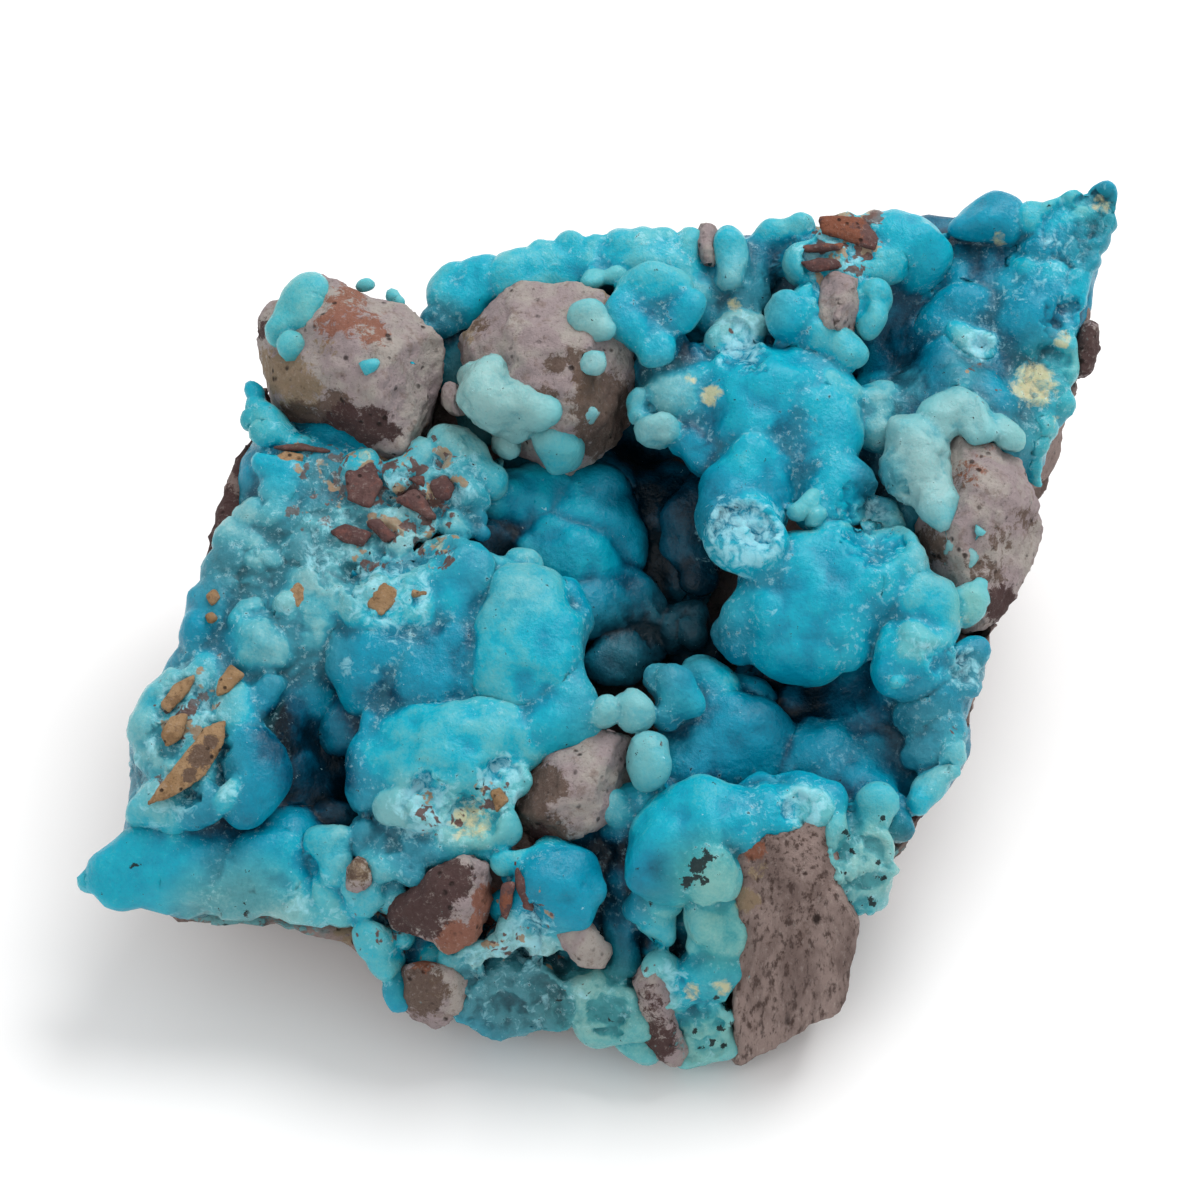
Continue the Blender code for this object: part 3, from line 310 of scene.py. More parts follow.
FRONT = [
    (2.2, BRIGHT, [(700, 836, 44, 2.6), (668, 850, 34, 2.2), (740, 824, 36, 2.8), (660, 868, 26, 1.6)]),
    (1.2, BRIGHT, [(772, 812, 28, 3.0), (752, 822, 26, 3.0)]),
    (1.0, TEAL, [(716, 802, 24, 0.8), (760, 792, 20, 1.4), (800, 794, 19, 1.8), (830, 806, 17, 2.0)]),
    (0.5, PALE, [(802, 802, 15, 3.2), (786, 804, 14, 3.2), (814, 812, 13, 3.0)]),
    (0.5, AQUA, [(834, 824, 13, 2.4), (838, 842, 13, 2.6), (836, 862, 13, 2.8)]),
    (0.8, AQUA, [(706, 868, 31, 3.4), (716, 878, 26, 3.4)]),
    (0.8, AQUA, [(712, 910, 28, 2.8), (724, 930, 24, 2.6), (736, 948, 20, 2.6), (700, 946, 14, 1.6)]),
    (0.6, AQUA, [(660, 898, 16, 0.6), (656, 920, 14, 0.2), (662, 934, 12, 0.2)]),
    (0.9, BRIGHT, [(716, 966, 26, 2.4), (700, 978, 24, 2.2), (738, 964, 18, 2.4), (688, 1000, 20, 1.8)]),
    (0.6, PALE, [(662, 968, 17, 2.2), (666, 990, 16, 2.2), (674, 1010, 14, 2.0), (680, 1026, 9, 1.6)]),
    (0.6, PALE, [(704, 1030, 26, 0.8), (692, 1048, 18, 0.2), (716, 1010, 18, 1.4), (722, 1046, 14, 0.4)]),
    (1.4, TEAL, [(568, 884, 33, 1.6), (552, 872, 28, 1.4), (562, 906, 26, 1.6), (540, 894, 22, 1.2)]),
    (0.6, AQUA, [(545, 858, 18, 0.8), (522, 862, 14, 0.6), (500, 862, 14, 0.6)]),
    (0.5, PALE, [(520, 930, 18, 1.2), (538, 944, 15, 1.2), (505, 948, 14, 1.0), (478, 952, 12, 0.8)]),
    (0.5, AQUA, [(556, 932, 16, 1.2), (530, 908, 16, 1.0), (455, 958, 10, 0.6)]),
    (1.4, BLUE, [(626, 880, 26, -3.0), (628, 920, 22, -1.8), (622, 955, 18, -0.6), (636, 850, 24, -2.6)]),
    (0.6, TEAL, [(642, 906, 14, -0.2), (646, 890, 12, -0.2)]),
    (0.9, TEAL, [(478, 992, 32, 0.4), (520, 992, 34, 0.8), (552, 1002, 30, 0.8), (500, 1008, 24, 0.2)]),
    (0.6, TEAL, [(540, 976, 16, 1.0), (566, 990, 16, 1.0), (470, 972, 14, 0.6)]),
    (0.9, AQUA, [(600, 1000, 30, 1.4), (622, 1012, 26, 1.6), (584, 984, 22, 1.4), (598, 1028, 18, 0.8)]),
    (0.6, AQUA, [(632, 1042, 13, 0.8), (645, 1050, 11, 0.6), (622, 996, 18, 1.4)]),
    (0.8, AQUA, [(858, 858, 22, 1.6), (866, 884, 22, 1.8), (876, 850, 18, 1.2), (856, 900, 18, 2.2)]),
    (0.6, AQUA, [(842, 888, 16, 2.6), (848, 912, 11, 2.4), (884, 872, 12, 1.0), (872, 904, 9, 1.2)]),
    (0.5, AQUA, [(872, 806, 16, 1.4), (866, 828, 17, 1.2), (876, 798, 12, 1.4)]),
    (0.8, BLUE, [(896, 830, 14, -1.0), (892, 812, 14, -2.0)]),
]
GROWTHS = (BACK_RIDGE, RIGHT_SHOULDER, CENTRE_MASS, CENTRE_HOLLOW, LEFT_MIDDLE, LEFT_SHOULDER, LEFT_TIP,
           LOWER_MIDDLE, RIGHT_MIDDLE, FRONT)

# Thin skins of smithsonite on the rock: thickness in mm, melt, tone and their discs (across, down, radius)
SKINS = [
    (0.9, 1.0, AQUA, [(300, 300, 21), (314, 292, 14), (288, 316, 18), (278, 330, 11), (306, 314, 12)]),
    (0.8, 0.3, AQUA, [(289, 341, 11)]),
    (0.8, 1.0, PALE, [(455, 362, 12), (470, 368, 16), (490, 366, 14), (482, 388, 22), (500, 400, 20),
                      (472, 404, 18), (518, 412, 18), (500, 420, 20), (480, 426, 16), (538, 416, 12),
                      (550, 415, 8), (520, 430, 12)]),
    (1.0, 0.4, PALE, [(512, 444, 13), (500, 440, 10)]),
    (1.7, 0.3, PALE, [(556, 448, 25)]),
    (1.5, 0.4, PALE, [(588, 322, 18), (598, 336, 11)]),
    (1.1, 0.2, PALE, [(595, 367, 12)]),
    (0.4, 0.2, AQUA, [(594, 416, 10)]),
    (0.5, 0.3, PALE, [(950, 540, 9), (947, 548, 7)]),
    (0.5, 0.3, PALE, [(960, 560, 11), (970, 566, 8)]),
    (0.3, 0.2, PALE, [(979, 535, 8)]),
    (0.7, 0.3, AQUA, [(370, 361, 9)]),
    (0.5, 0.2, AQUA, [(412, 366, 6)]),
]

# Flat breaks through the crust: (across, down, radius, lift in mm)
BREAKS = [
    (745, 536, 30, 4.5), (386, 600, 26, 2.3), (415, 590, 14, 2.3), (400, 520, 46, 0.5), (345, 545, 34, 0.6),
    (440, 500, 22, 0.6), (180, 700, 22, 0.2), (196, 745, 28, 0.3), (166, 740, 18, 0.0), (176, 790, 18, 0.1),
    (840, 262, 34, 1.6), (845, 300, 22, 1.9), (505, 785, 20, 1.0), (470, 825, 26, 0.4), (420, 806, 20, 1.0),
    (800, 808, 14, 2.7), (500, 1000, 50, 0.0), (545, 1000, 30, 0.2), (865, 862, 26, 1.0), (860, 895, 24, 1.4),
    (1070, 235, 30, 0.2), (1095, 215, 22, 0.0), (1050, 375, 24, -1.2), (1070, 320, 18, -0.6),
    (735, 336, 16, 0.2), (985, 344, 10, -0.9), (664, 985, 16, 1.6), (700, 1035, 26, 0.2),
    (520, 936, 22, 0.6), (966, 668, 14, 0.2), (876, 514, 10, -0.9), (600, 1005, 26, 0.7),
]
BREAK_SPREAD = 1.3          # how fast a break's level rises away from it
BREAK_ROUGH = 0.35          # mm

# Places where the crust is another colour or dull, and where painted shade darkens it in hollows: (across, down,
# radius, strength)
WHITE = [
    (745, 536, 42, 1.0), (425, 808, 34, 0.9), (505, 782, 26, 1.0), (390, 600, 46, 0.55), (400, 510, 50, 0.4),
    (335, 545, 50, 0.35), (290, 445, 26, 0.5), (195, 700, 40, 0.6), (140, 770, 26, 0.5), (165, 812, 26, 0.6),
    (740, 336, 26, 0.8), (983, 344, 18, 0.9), (806, 804, 24, 1.0), (664, 985, 22, 1.0), (390, 940, 24, 0.5),
    (970, 670, 24, 0.6), (360, 560, 36, 0.4), (460, 480, 34, 0.6), (830, 250, 40, 0.55), (520, 940, 30, 0.8),
    (315, 908, 34, 0.5), (365, 665, 30, 0.4), (228, 792, 12, 0.8), (287, 606, 12, 0.7), (400, 860, 34, 0.3),
    (915, 645, 22, 0.4), (600, 245, 14, 0.4), (675, 245, 22, 0.4), (876, 514, 14, 0.6), (1050, 270, 36, 0.35),
    (910, 590, 12, 0.5), (770, 615, 10, 0.5), (655, 300, 30, 0.12), (480, 952, 16, 0.8), (1015, 290, 18, 0.4),
]
CREAM = [
    (1035, 385, 24, 0.9), (1063, 340, 10, 0.9), (712, 395, 11, 1.0), (690, 378, 8, 0.6), (690, 990, 12, 0.7),
    (722, 988, 10, 0.9), (470, 822, 24, 0.7), (1100, 206, 12, 0.6), (365, 457, 10, 0.8), (735, 305, 9, 0.8),
    (745, 905, 9, 0.9), (965, 620, 10, 0.5), (1000, 238, 9, 0.6), (800, 835, 14, 0.5), (440, 545, 8, 0.7),
    (1050, 420, 10, 0.5), (770, 842, 10, 0.5),
]
GREEN = [
    (705, 880, 44, 1.0), (728, 935, 44, 1.0), (600, 1005, 56, 1.0), (870, 860, 50, 0.9), (640, 1030, 40, 0.9),
    (470, 822, 30, 0.7), (1050, 372, 40, 0.6), (400, 985, 20, 0.4), (705, 1040, 36, 0.9), (240, 920, 60, 0.5),
    (1100, 215, 26, 0.6), (1050, 430, 40, 0.5), (300, 312, 40, 0.5), (730, 985, 30, 0.6), (660, 905, 20, 0.6),
    (968, 605, 20, 0.7), (490, 400, 60, 0.5), (585, 325, 20, 0.4), (250, 425, 20, 0.5), (1090, 245, 26, 0.4),
]
# Painted shade, darkest in the hollows and creases of the crust
PAINTED_HOLLOW_SHADE = [
    (285, 735, 32, 1.0), (305, 778, 28, 1.0), (342, 772, 22, 1.0), (640, 480, 40, 0.5), (700, 500, 34, 0.8),
    (690, 590, 28, 0.6), (880, 480, 26, 0.7), (650, 880, 26, 0.6), (560, 640, 30, 0.3), (915, 350, 30, 0.4),
    (480, 560, 34, 0.3), (690, 650, 40, 0.5), (790, 700, 40, 0.4), (610, 850, 24, 0.6), (230, 830, 40, 0.3),
    (890, 700, 40, 0.4),
]
DULL = [
    (520, 990, 60, 1.0), (480, 990, 40, 0.9), (235, 925, 60, 0.9), (870, 870, 44, 0.5), (590, 325, 24, 0.6),
    (595, 367, 16, 0.8), (594, 416, 14, 0.9), (640, 650, 50, 0.6), (680, 625, 44, 0.7), (655, 428, 22, 0.6),
    (664, 392, 34, 0.6), (920, 470, 50, 0.9), (960, 420, 36, 0.7), (885, 410, 26, 0.7), (300, 620, 40, 0.4),
    (965, 365, 24, 0.6), (905, 388, 24, 0.6), (950, 550, 30, 0.9), (745, 295, 40, 0.6), (490, 400, 60, 0.8),
    (395, 850, 60, 0.5), (930, 735, 44, 0.5), (970, 670, 24, 0.6), (620, 905, 30, 0.2), (250, 550, 60, 0.8),
    (430, 500, 60, 0.6), (690, 545, 40, 0.3), (330, 545, 60, 0.9), (395, 520, 50, 0.8), (1010, 435, 24, 0.5),
    (325, 480, 26, 0.7), (632, 712, 60, 0.35), (170, 760, 60, 0.6), (290, 640, 50, 0.6), (195, 700, 40, 0.6),
    (505, 580, 40, 0.3), (876, 514, 20, 0.6), (612, 812, 20, 0.5), (440, 315, 20, 0.4), (600, 1005, 40, 0.3),
]

# Small pits of the crust, painted near black as the shade in their holes: (across, down, radius, strength)
PITS = [
    (697, 866, 9, 1.0), (688, 882, 7, 1.0), (706, 856, 7, 1.0), (702, 878, 6, 1.0), (137, 865, 5, 0.8),
    (735, 993, 4, 0.9), (728, 1008, 4, 0.9), (721, 1028, 4, 1.0), (712, 1042, 4, 1.0), (699, 1050, 4, 0.9),
    (716, 998, 3, 0.8), (731, 1024, 3, 0.9), (708, 1018, 3, 0.8), (694, 1032, 3, 0.8), (724, 1046, 4, 0.9),
    (846, 832, 4, 0.9), (872, 902, 5, 0.9), (852, 852, 4, 0.8), (883, 878, 4, 0.9), (862, 872, 3, 0.8),
    (850, 898, 3, 0.9), (868, 846, 3, 0.8), (877, 862, 3, 0.9), (842, 872, 3, 0.8), (880, 820, 4, 0.7),
    (560, 1002, 3, 0.6), (590, 992, 3, 0.6), (520, 1008, 3, 0.6), (610, 1020, 3, 0.6), (650, 905, 3, 0.7),
    (246, 914, 4, 0.7), (262, 922, 3, 0.7), (222, 912, 3, 0.6), (652, 925, 4, 0.7), (655, 940, 3, 0.7),
]

# Where the crust is full of small crumbs of tan and brown rock: (across, down, radius, strength)
CRUMBS = [
    (330, 470, 40, 0.9), (400, 470, 50, 1.0), (425, 520, 40, 1.0), (380, 540, 40, 0.8), (300, 450, 26, 0.8),
    (310, 520, 36, 0.7), (435, 470, 36, 1.0), (445, 545, 22, 0.9), (440, 560, 18, 0.8), (205, 690, 34, 0.7),
    (180, 720, 40, 0.8), (165, 780, 30, 0.7), (850, 240, 44, 1.0), (870, 215, 20, 1.0), (835, 285, 30, 0.8),
    (440, 812, 36, 0.8), (490, 800, 26, 0.8), (380, 930, 36, 0.8), (500, 930, 34, 0.8), (430, 985, 30, 0.8),
    (545, 905, 22, 0.7), (570, 960, 44, 0.5), (660, 985, 30, 0.6), (985, 380, 26, 0.7), (1000, 600, 20, 0.6),
    (1095, 225, 24, 0.4), (735, 330, 20, 0.5), (655, 740, 16, 0.5), (960, 740, 30, 0.5),
]

CRUST_VOXEL = 0.34          # mm
CRUST_FACES = 195000        # triangles
SHOWN_WEIGHT = 0.05         # how readily the open surface gives up points, next to 1 inside the rock
CAPS = ((5.5, 0.7, 1), (2.6, 0.20, 2), (1.2, 0.07, 3))     # spacing in mm, depth in mm, seed
SEAM_MELT = 0.12            # mm over which two lobes run together
MELT_FALL = 0.65            # share of a melt's width over which its pull falls off
BALL_DEPTH = 1.5            # how far a ball reaches back into the stone, in its radii
STRAY_LIFT = -3.5           # mm, below which crust that is out of sight stays inside the host rock
STRAY_BACK = 26.0           # mm, behind which it may come out
STRAY_COVER = 1.3           # mm of host rock over it
STRAY_REACH = 6.0           # mm, the most that a point is moved
FACE_NEARER = 0.955         # mm on the stone's face for each mm in the plane of the picture's middle
TONE_MELT = 0.3             # mm over which the tones of two lobes mix
SKIN_ROOT = 0.5             # mm that a thin skin reaches into its rock
NO_BREAK = 60.0             # mm, a break's level where there is none
SETTLE_STEP = 0.9           # mm, the furthest that is trusted from one look at the lobes


def face_point(across, down, lift):
    """The place, in mm, seen at this pixel and standing lift mm in front of the stone's face."""
    flat_up = (FRAME_PX / 2 - down) * MM_PER_PX
    fall = FRONT_FALL * max(0, down - FRONT_CREST) * MM_PER_PX
    toward = FACE_LIFT - FACE_SLOPE * flat_up - fall + lift
    nearer = 1 - toward / VIEW_DISTANCE
    up = flat_up * nearer
    right = (across - FRAME_PX / 2) * MM_PER_PX * nearer
    back = up * SIN_VIEW - toward * COS_VIEW
    height = up * COS_VIEW + toward * SIN_VIEW
    return Vector(PICTURE_MIDDLE) + Vector((right, back, height))


def face_place(points):
    """The reverse of face_point for an array of points in mm: arrays of across, down and lift."""
    apart = points - np.array(PICTURE_MIDDLE)
    toward = apart[:, 2] * SIN_VIEW - apart[:, 1] * COS_VIEW
    up = apart[:, 1] * SIN_VIEW + apart[:, 2] * COS_VIEW
    nearer = 1 - toward / VIEW_DISTANCE
    across = FRAME_PX / 2 + apart[:, 0] / nearer / MM_PER_PX
    down = FRAME_PX / 2 - up / nearer / MM_PER_PX
    fall = FRONT_FALL * np.maximum(0, down - FRONT_CREST) * MM_PER_PX
    lift = toward - (FACE_LIFT - FACE_SLOPE * up / nearer - fall)
    return across, down, lift


def spot_mask(across, down, spots):
    """How strongly each place is inside the round spots. A spot has its full strength up to 0.6 of its radius, and
    is gone at 1.4 radii."""
    mask = np.zeros(len(across))
    for x, y, radius, strength in spots:
        far = np.hypot(across - x, down - y) / radius
        mask = np.maximum(mask, strength * np.clip(1.75 - 1.25 * far, 0, 1))
    return mask


# Seeded tables that the noises look up
LATTICE = np.random.default_rng(1).permutation(256)
SLOPES = np.random.default_rng(2).normal(size=(256, 3))
SLOPES /= np.linalg.norm(SLOPES, axis=1)[:, None]
JITTER = np.random.default_rng(3).uniform(-0.42, 0.42, (256, 3))
SPREAD = np.random.default_rng(4).uniform(0.8, 1.6, 256)


def noise_at(points, size, seed, octaves=3):
    """Fractal noise, mostly from -1 to 1, at each point, with features about size mm across."""
    total = np.zeros(len(points))
    for octave in range(octaves):
        cell = points * (2 ** octave / size) + 31.7 * (seed + octave)
        base = np.floor(cell).astype(int)
        part = cell - base
        ease = part * part * (3 - 2 * part)
        for corner in itertools.product((0, 1), repeat=3):
            x, y, z = ((base + corner) & 255).T
            slope = SLOPES[LATTICE[(LATTICE[(LATTICE[x] + y) & 255] + z) & 255]]
            weight = np.prod(np.where(corner, ease, 1 - ease), axis=1)
            total += weight * ((part - corner) * slope).sum(1) / 2 ** octave
    return total * 1.7


def caps_at(points, size, seed):
    """Round caps about size mm apart that meet in creases: 1 at the top of a cap, towards 0 in a crease."""
    cell = points / size + 17.3 * seed
    base = np.floor(cell).astype(int)
    nearest = np.full(len(points), 9.0)
    for corner in itertools.product((-1, 0, 1), repeat=3):
        x, y, z = ((base + corner) & 255).T
        pick = LATTICE[(LATTICE[(LATTICE[(x + seed) & 255] + y) & 255] + z) & 255]
        middle = base + corner + 0.5 + JITTER[pick]
        nearest = np.minimum(nearest, ((cell - middle) ** 2).sum(1) * SPREAD[pick])
    return 1 - np.minimum(nearest, 1)


def facets_at(points, size, seed):
    """The height of flat facets about size mm across, each tilted its own way, mostly from -1 to 1."""
    cell = points / size + 9.1 * seed
    base = np.floor(cell).astype(int)
    nearest = np.full(len(points), 9.0)
    height = np.zeros(len(points))
    for corner in itertools.product((-1, 0, 1), repeat=3):
        x, y, z = ((base + corner) & 255).T
        pick = LATTICE[(LATTICE[(LATTICE[(x + seed) & 255] + y) & 255] + z) & 255]
        away = cell - (base + corner + 0.5 + JITTER[pick])
        far = (away ** 2).sum(1)
        height = np.where(far < nearest, (away * SLOPES[pick]).sum(1), height)
        nearest = np.minimum(nearest, far)
    return height


def linear(hex_colour):
    """An sRGB hex colour as linear red, green, blue and alpha."""
    channels = [int(hex_colour[i:i + 2], 16) / 255 for i in (1, 3, 5)]
    return [c / 12.92 if c <= 0.04045 else ((c + 0.055) / 1.055) ** 2.4 for c in channels] + [1.0]


def add_node(tree, kind, settings=None, links=None):
    """Adds a shader node. settings fill its options or unlinked inputs, and links feed inputs from sockets."""
    made = tree.nodes.new(kind)
    for key, value in (settings or {}).items():
        if isinstance(key, str) and hasattr(made, key):
            setattr(made, key, value)
        else:
            made.inputs[key].default_value = value
    for key, socket in (links or {}).items():
        tree.links.new(socket, made.inputs[key])
    return made


def new_material(name):
    made = bpy.data.materials.new(name)
    made.use_nodes = True
    made.node_tree.nodes.clear()
    return made, made.node_tree


def add_ramp(tree, factor, stops):
    ramp = add_node(tree, "ShaderNodeValToRGB", links={0: factor})
    while len(ramp.color_ramp.elements) < len(stops):
        ramp.color_ramp.elements.new(0.5)
    for element, (place, colour) in zip(ramp.color_ramp.elements, stops):
        element.position = place
        element.color = linear(colour)
    return ramp.outputs[0]


def add_mix(tree, factor, first, second):
    """Mixes two colours, each a socket or a hex colour."""
    made = add_node(tree, "ShaderNodeMix", {"data_type": "RGBA"})
    if isinstance(factor, (int, float)):
        made.inputs[0].default_value = factor
    else:
        tree.links.new(factor, made.inputs[0])
    for place, colour in ((6, first), (7, second)):
        if isinstance(colour, str):
            made.inputs[place].default_value = linear(colour)
        else:
            tree.links.new(colour, made.inputs[place])
    return made.outputs[2]


def add_math(tree, operation, first, second=0.0):
    made = add_node(tree, "ShaderNodeMath", {"operation": operation})
    for place, value in enumerate((first, second)):
        if isinstance(value, (int, float)):
            made.inputs[place].default_value = value
        else:
            tree.links.new(value, made.inputs[place])
    return made.outputs[0]


def add_noise(tree, place, size_mm, detail=3.0, rough=0.55, distortion=0.0):
    """Noise whose features are about size_mm across; place is in metres."""
    made = add_node(tree, "ShaderNodeTexNoise",
                    {"Scale": 1 / (size_mm * MM), "Detail": detail, "Roughness": rough,
                     "Distortion": distortion},
                    {"Vector": place})
    return made.outputs[0]


def add_sway(tree, value, noise, amount):
    """The value moved up and down by a noise, by so much in all."""
    return add_math(tree, "ADD", value, add_math(tree, "MULTIPLY", add_math(tree, "SUBTRACT", noise, 0.5), amount))


def add_step(tree, value, low, high):
    """0 at low and below, 1 at high and above."""
    made = add_node(tree, "ShaderNodeMapRange", {"From Min": low, "From Max": high, "clamp": True}, {0: value})
    return made.outputs[0]


def add_attribute(tree, name):
    return add_node(tree, "ShaderNodeAttribute", {"attribute_name": name}).outputs["Fac"]


def finish_material(tree, colour, settings, bump_height, bump_mm, links=None):
    """Ends a material with its shader, over a bump of the given depth in mm."""
    bump = add_node(tree, "ShaderNodeBump", {"Strength": 1.0, "Distance": bump_mm * MM},
                    {"Height": bump_height})
    sockets = {"Base Color": colour, "Normal": bump.outputs[0]}
    sockets.update(links or {})
    shader = add_node(tree, "ShaderNodeBsdfPrincipled", settings, sockets)
    add_node(tree, "ShaderNodeOutputMaterial", links={0: shader.outputs[0]})


def smithsonite_material():
    """Blue smithsonite, grown as waxy balls. Light enters it a millimetre or so and glows back out blue-green, its
    crystal ends glint in painted highlights, and where it is broken it shows white flakes and crumbs of the rock
    that it cemented."""
    made, tree = new_material("grown_smithsonite")
    place = add_node(tree, "ShaderNodeNewGeometry").outputs["Position"]
    tone = add_attribute(tree, "tone")
    white = add_attribute(tree, "white")
    cream = add_attribute(tree, "cream")
    green = add_attribute(tree, "green")
    dull = add_attribute(tree, "dull")
    seam = add_attribute(tree, "seam")
    # The colour changes over 4.5 mm, about a ball's width, and over 1.6 mm within a ball. The ends of the crystals
    # are too fine to show, so they are drawn coarser, as grains of 0.6 and 0.25 mm.
    cloud = add_noise(tree, place, 4.5, 3.0, 0.6)
    grain = add_noise(tree, place, 0.6, 4.0, 0.7)
    sugar = add_noise(tree, place, 0.25, 3.0, 0.7)
    blur = add_noise(tree, place, 1.6, 2.0, 0.5)
    shade = add_sway(tree, add_sway(tree, tone, cloud, 0.30), grain, 0.16)
    shade = add_sway(tree, add_sway(tree, shade, sugar, 0.20), blur, 0.16)
    blue = add_ramp(tree, shade, [
        (0.00, "#00141f"), (0.14, "#00283b"), (0.34, "#00506b"), (0.52, "#007590"), (0.68, "#008aa6"),
        (0.84, "#04a0b6"), (1.00, "#59acb4"),
    ])
    leaf = add_ramp(tree, shade, [(0.1, "#0b3c42"), (0.5, "#1f7478"), (0.8, "#3f908f"), (1.0, "#7fb3aa")])
    slate = add_ramp(tree, shade, [
        (0.1, "#0c2c36"), (0.5, "#356468"), (0.8, "#5c8f92"), (1.0, "#98b4b2"),
    ])
    colour = add_mix(tree, add_math(tree, "MULTIPLY", green, 0.8), blue, leaf)
    colour = add_mix(tree, add_math(tree, "MULTIPLY", dull, 0.75), colour, slate)
    # White broken crystal in flakes of about 1 mm, and cream iron stain in the same shapes
    crystal = add_noise(tree, place, 1.1, 5.0, 0.65, 0.6)
    patch = add_step(tree, add_math(tree, "ADD", crystal, add_math(tree, "MULTIPLY", white, 0.24)), 0.64, 0.80)
    patch = add_math(tree, "MULTIPLY", patch, add_step(tree, white, 0.02, 0.25))
    colour = add_mix(tree, add_math(tree, "MULTIPLY", patch, 0.7), colour, "#9ad3de")
    stain = add_step(tree, add_math(tree, "ADD", crystal, add_math(tree, "MULTIPLY", cream, 0.5)), 0.74, 0.95)
    colour = add_mix(tree, add_math(tree, "MULTIPLY", stain, 0.85), colour, "#c3bd93")
    # Crumbs of tan and of maroon rock, 1 to 2 mm across
    for size, twist, strength, shade in ((1.9, 0.15, 0.9, "#977d60"), (1.5, 0.3, 0.95, "#5a403b")):
        crumb = add_noise(tree, place, size, 3.0, 0.55, twist)
        crumb = add_math(tree, "ADD", crumb, add_math(tree, "MULTIPLY", add_attribute(tree, "crumb"), 0.27))
        crumb = add_step(tree, crumb, 0.80, 0.83)
        colour = add_mix(tree, add_math(tree, "MULTIPLY", crumb, strength), colour, shade)
    # A paler line painted where two lobes meet, as painted light glowing through their thin edges, and painted
    # highlights for the glints of crystal faces
    colour = add_mix(tree, add_math(tree, "MULTIPLY", add_step(tree, seam, 0.6, 1.0), 0.12), colour, "#4fb0bd")
    glint_fleck = add_step(tree, add_noise(tree, place, 0.9, 5.0, 0.8, 0.3), 0.67, 0.70)
    glint = add_math(tree, "MULTIPLY", seam, add_step(tree, grain, 0.55, 0.66))
    glint = add_math(tree, "MULTIPLY", glint, 0.4)
    glint = add_math(tree, "MAXIMUM", add_math(tree, "MULTIPLY", glint_fleck, 0.65), glint)
    colour = add_mix(tree, glint, colour, "#b5e0e8")
    # Small pits painted near black as their shade, their edges torn by the grain
    pit = add_step(tree, add_sway(tree, add_attribute(tree, "pit"), grain, 3.0), 0.50, 0.60)
    colour = add_mix(tree, add_math(tree, "MULTIPLY", pit, 0.95), colour, "#0a1518")
    # The bump: ends of crystal bundles 0.7 mm across on soft waves of 0.9 mm, under the finer grain
    cell = add_node(tree, "ShaderNodeTexVoronoi", {"Scale": 1 / (0.7 * MM)}, {"Vector": place})
    cell = add_math(tree, "MULTIPLY", cell.outputs["Distance"], 0.25)
    wave = add_math(tree, "SUBTRACT", add_noise(tree, place, 0.9, 2.0, 0.5), cell)
    grain = add_math(tree, "MULTIPLY", grain, 0.6)
    height = add_math(tree, "ADD", add_math(tree, "MULTIPLY", wave, 0.6), grain)
    height = add_math(tree, "ADD", height, add_math(tree, "MULTIPLY", sugar, 0.25))
    rough = add_math(tree, "ADD", add_math(tree, "MULTIPLY", patch, 0.15), 0.26)
    finish_material(tree, colour, {
        "Roughness": 0.28, "Metallic": 0.0, "IOR": 1.62, "Specular IOR Level": 0.16,
        "Subsurface Weight": 0.25, "Subsurface Radius": (0.2, 1.0, 1.0), "Subsurface Scale": 1.4 * MM,
    }, height, 0.20, {"Roughness": rough})
    return made


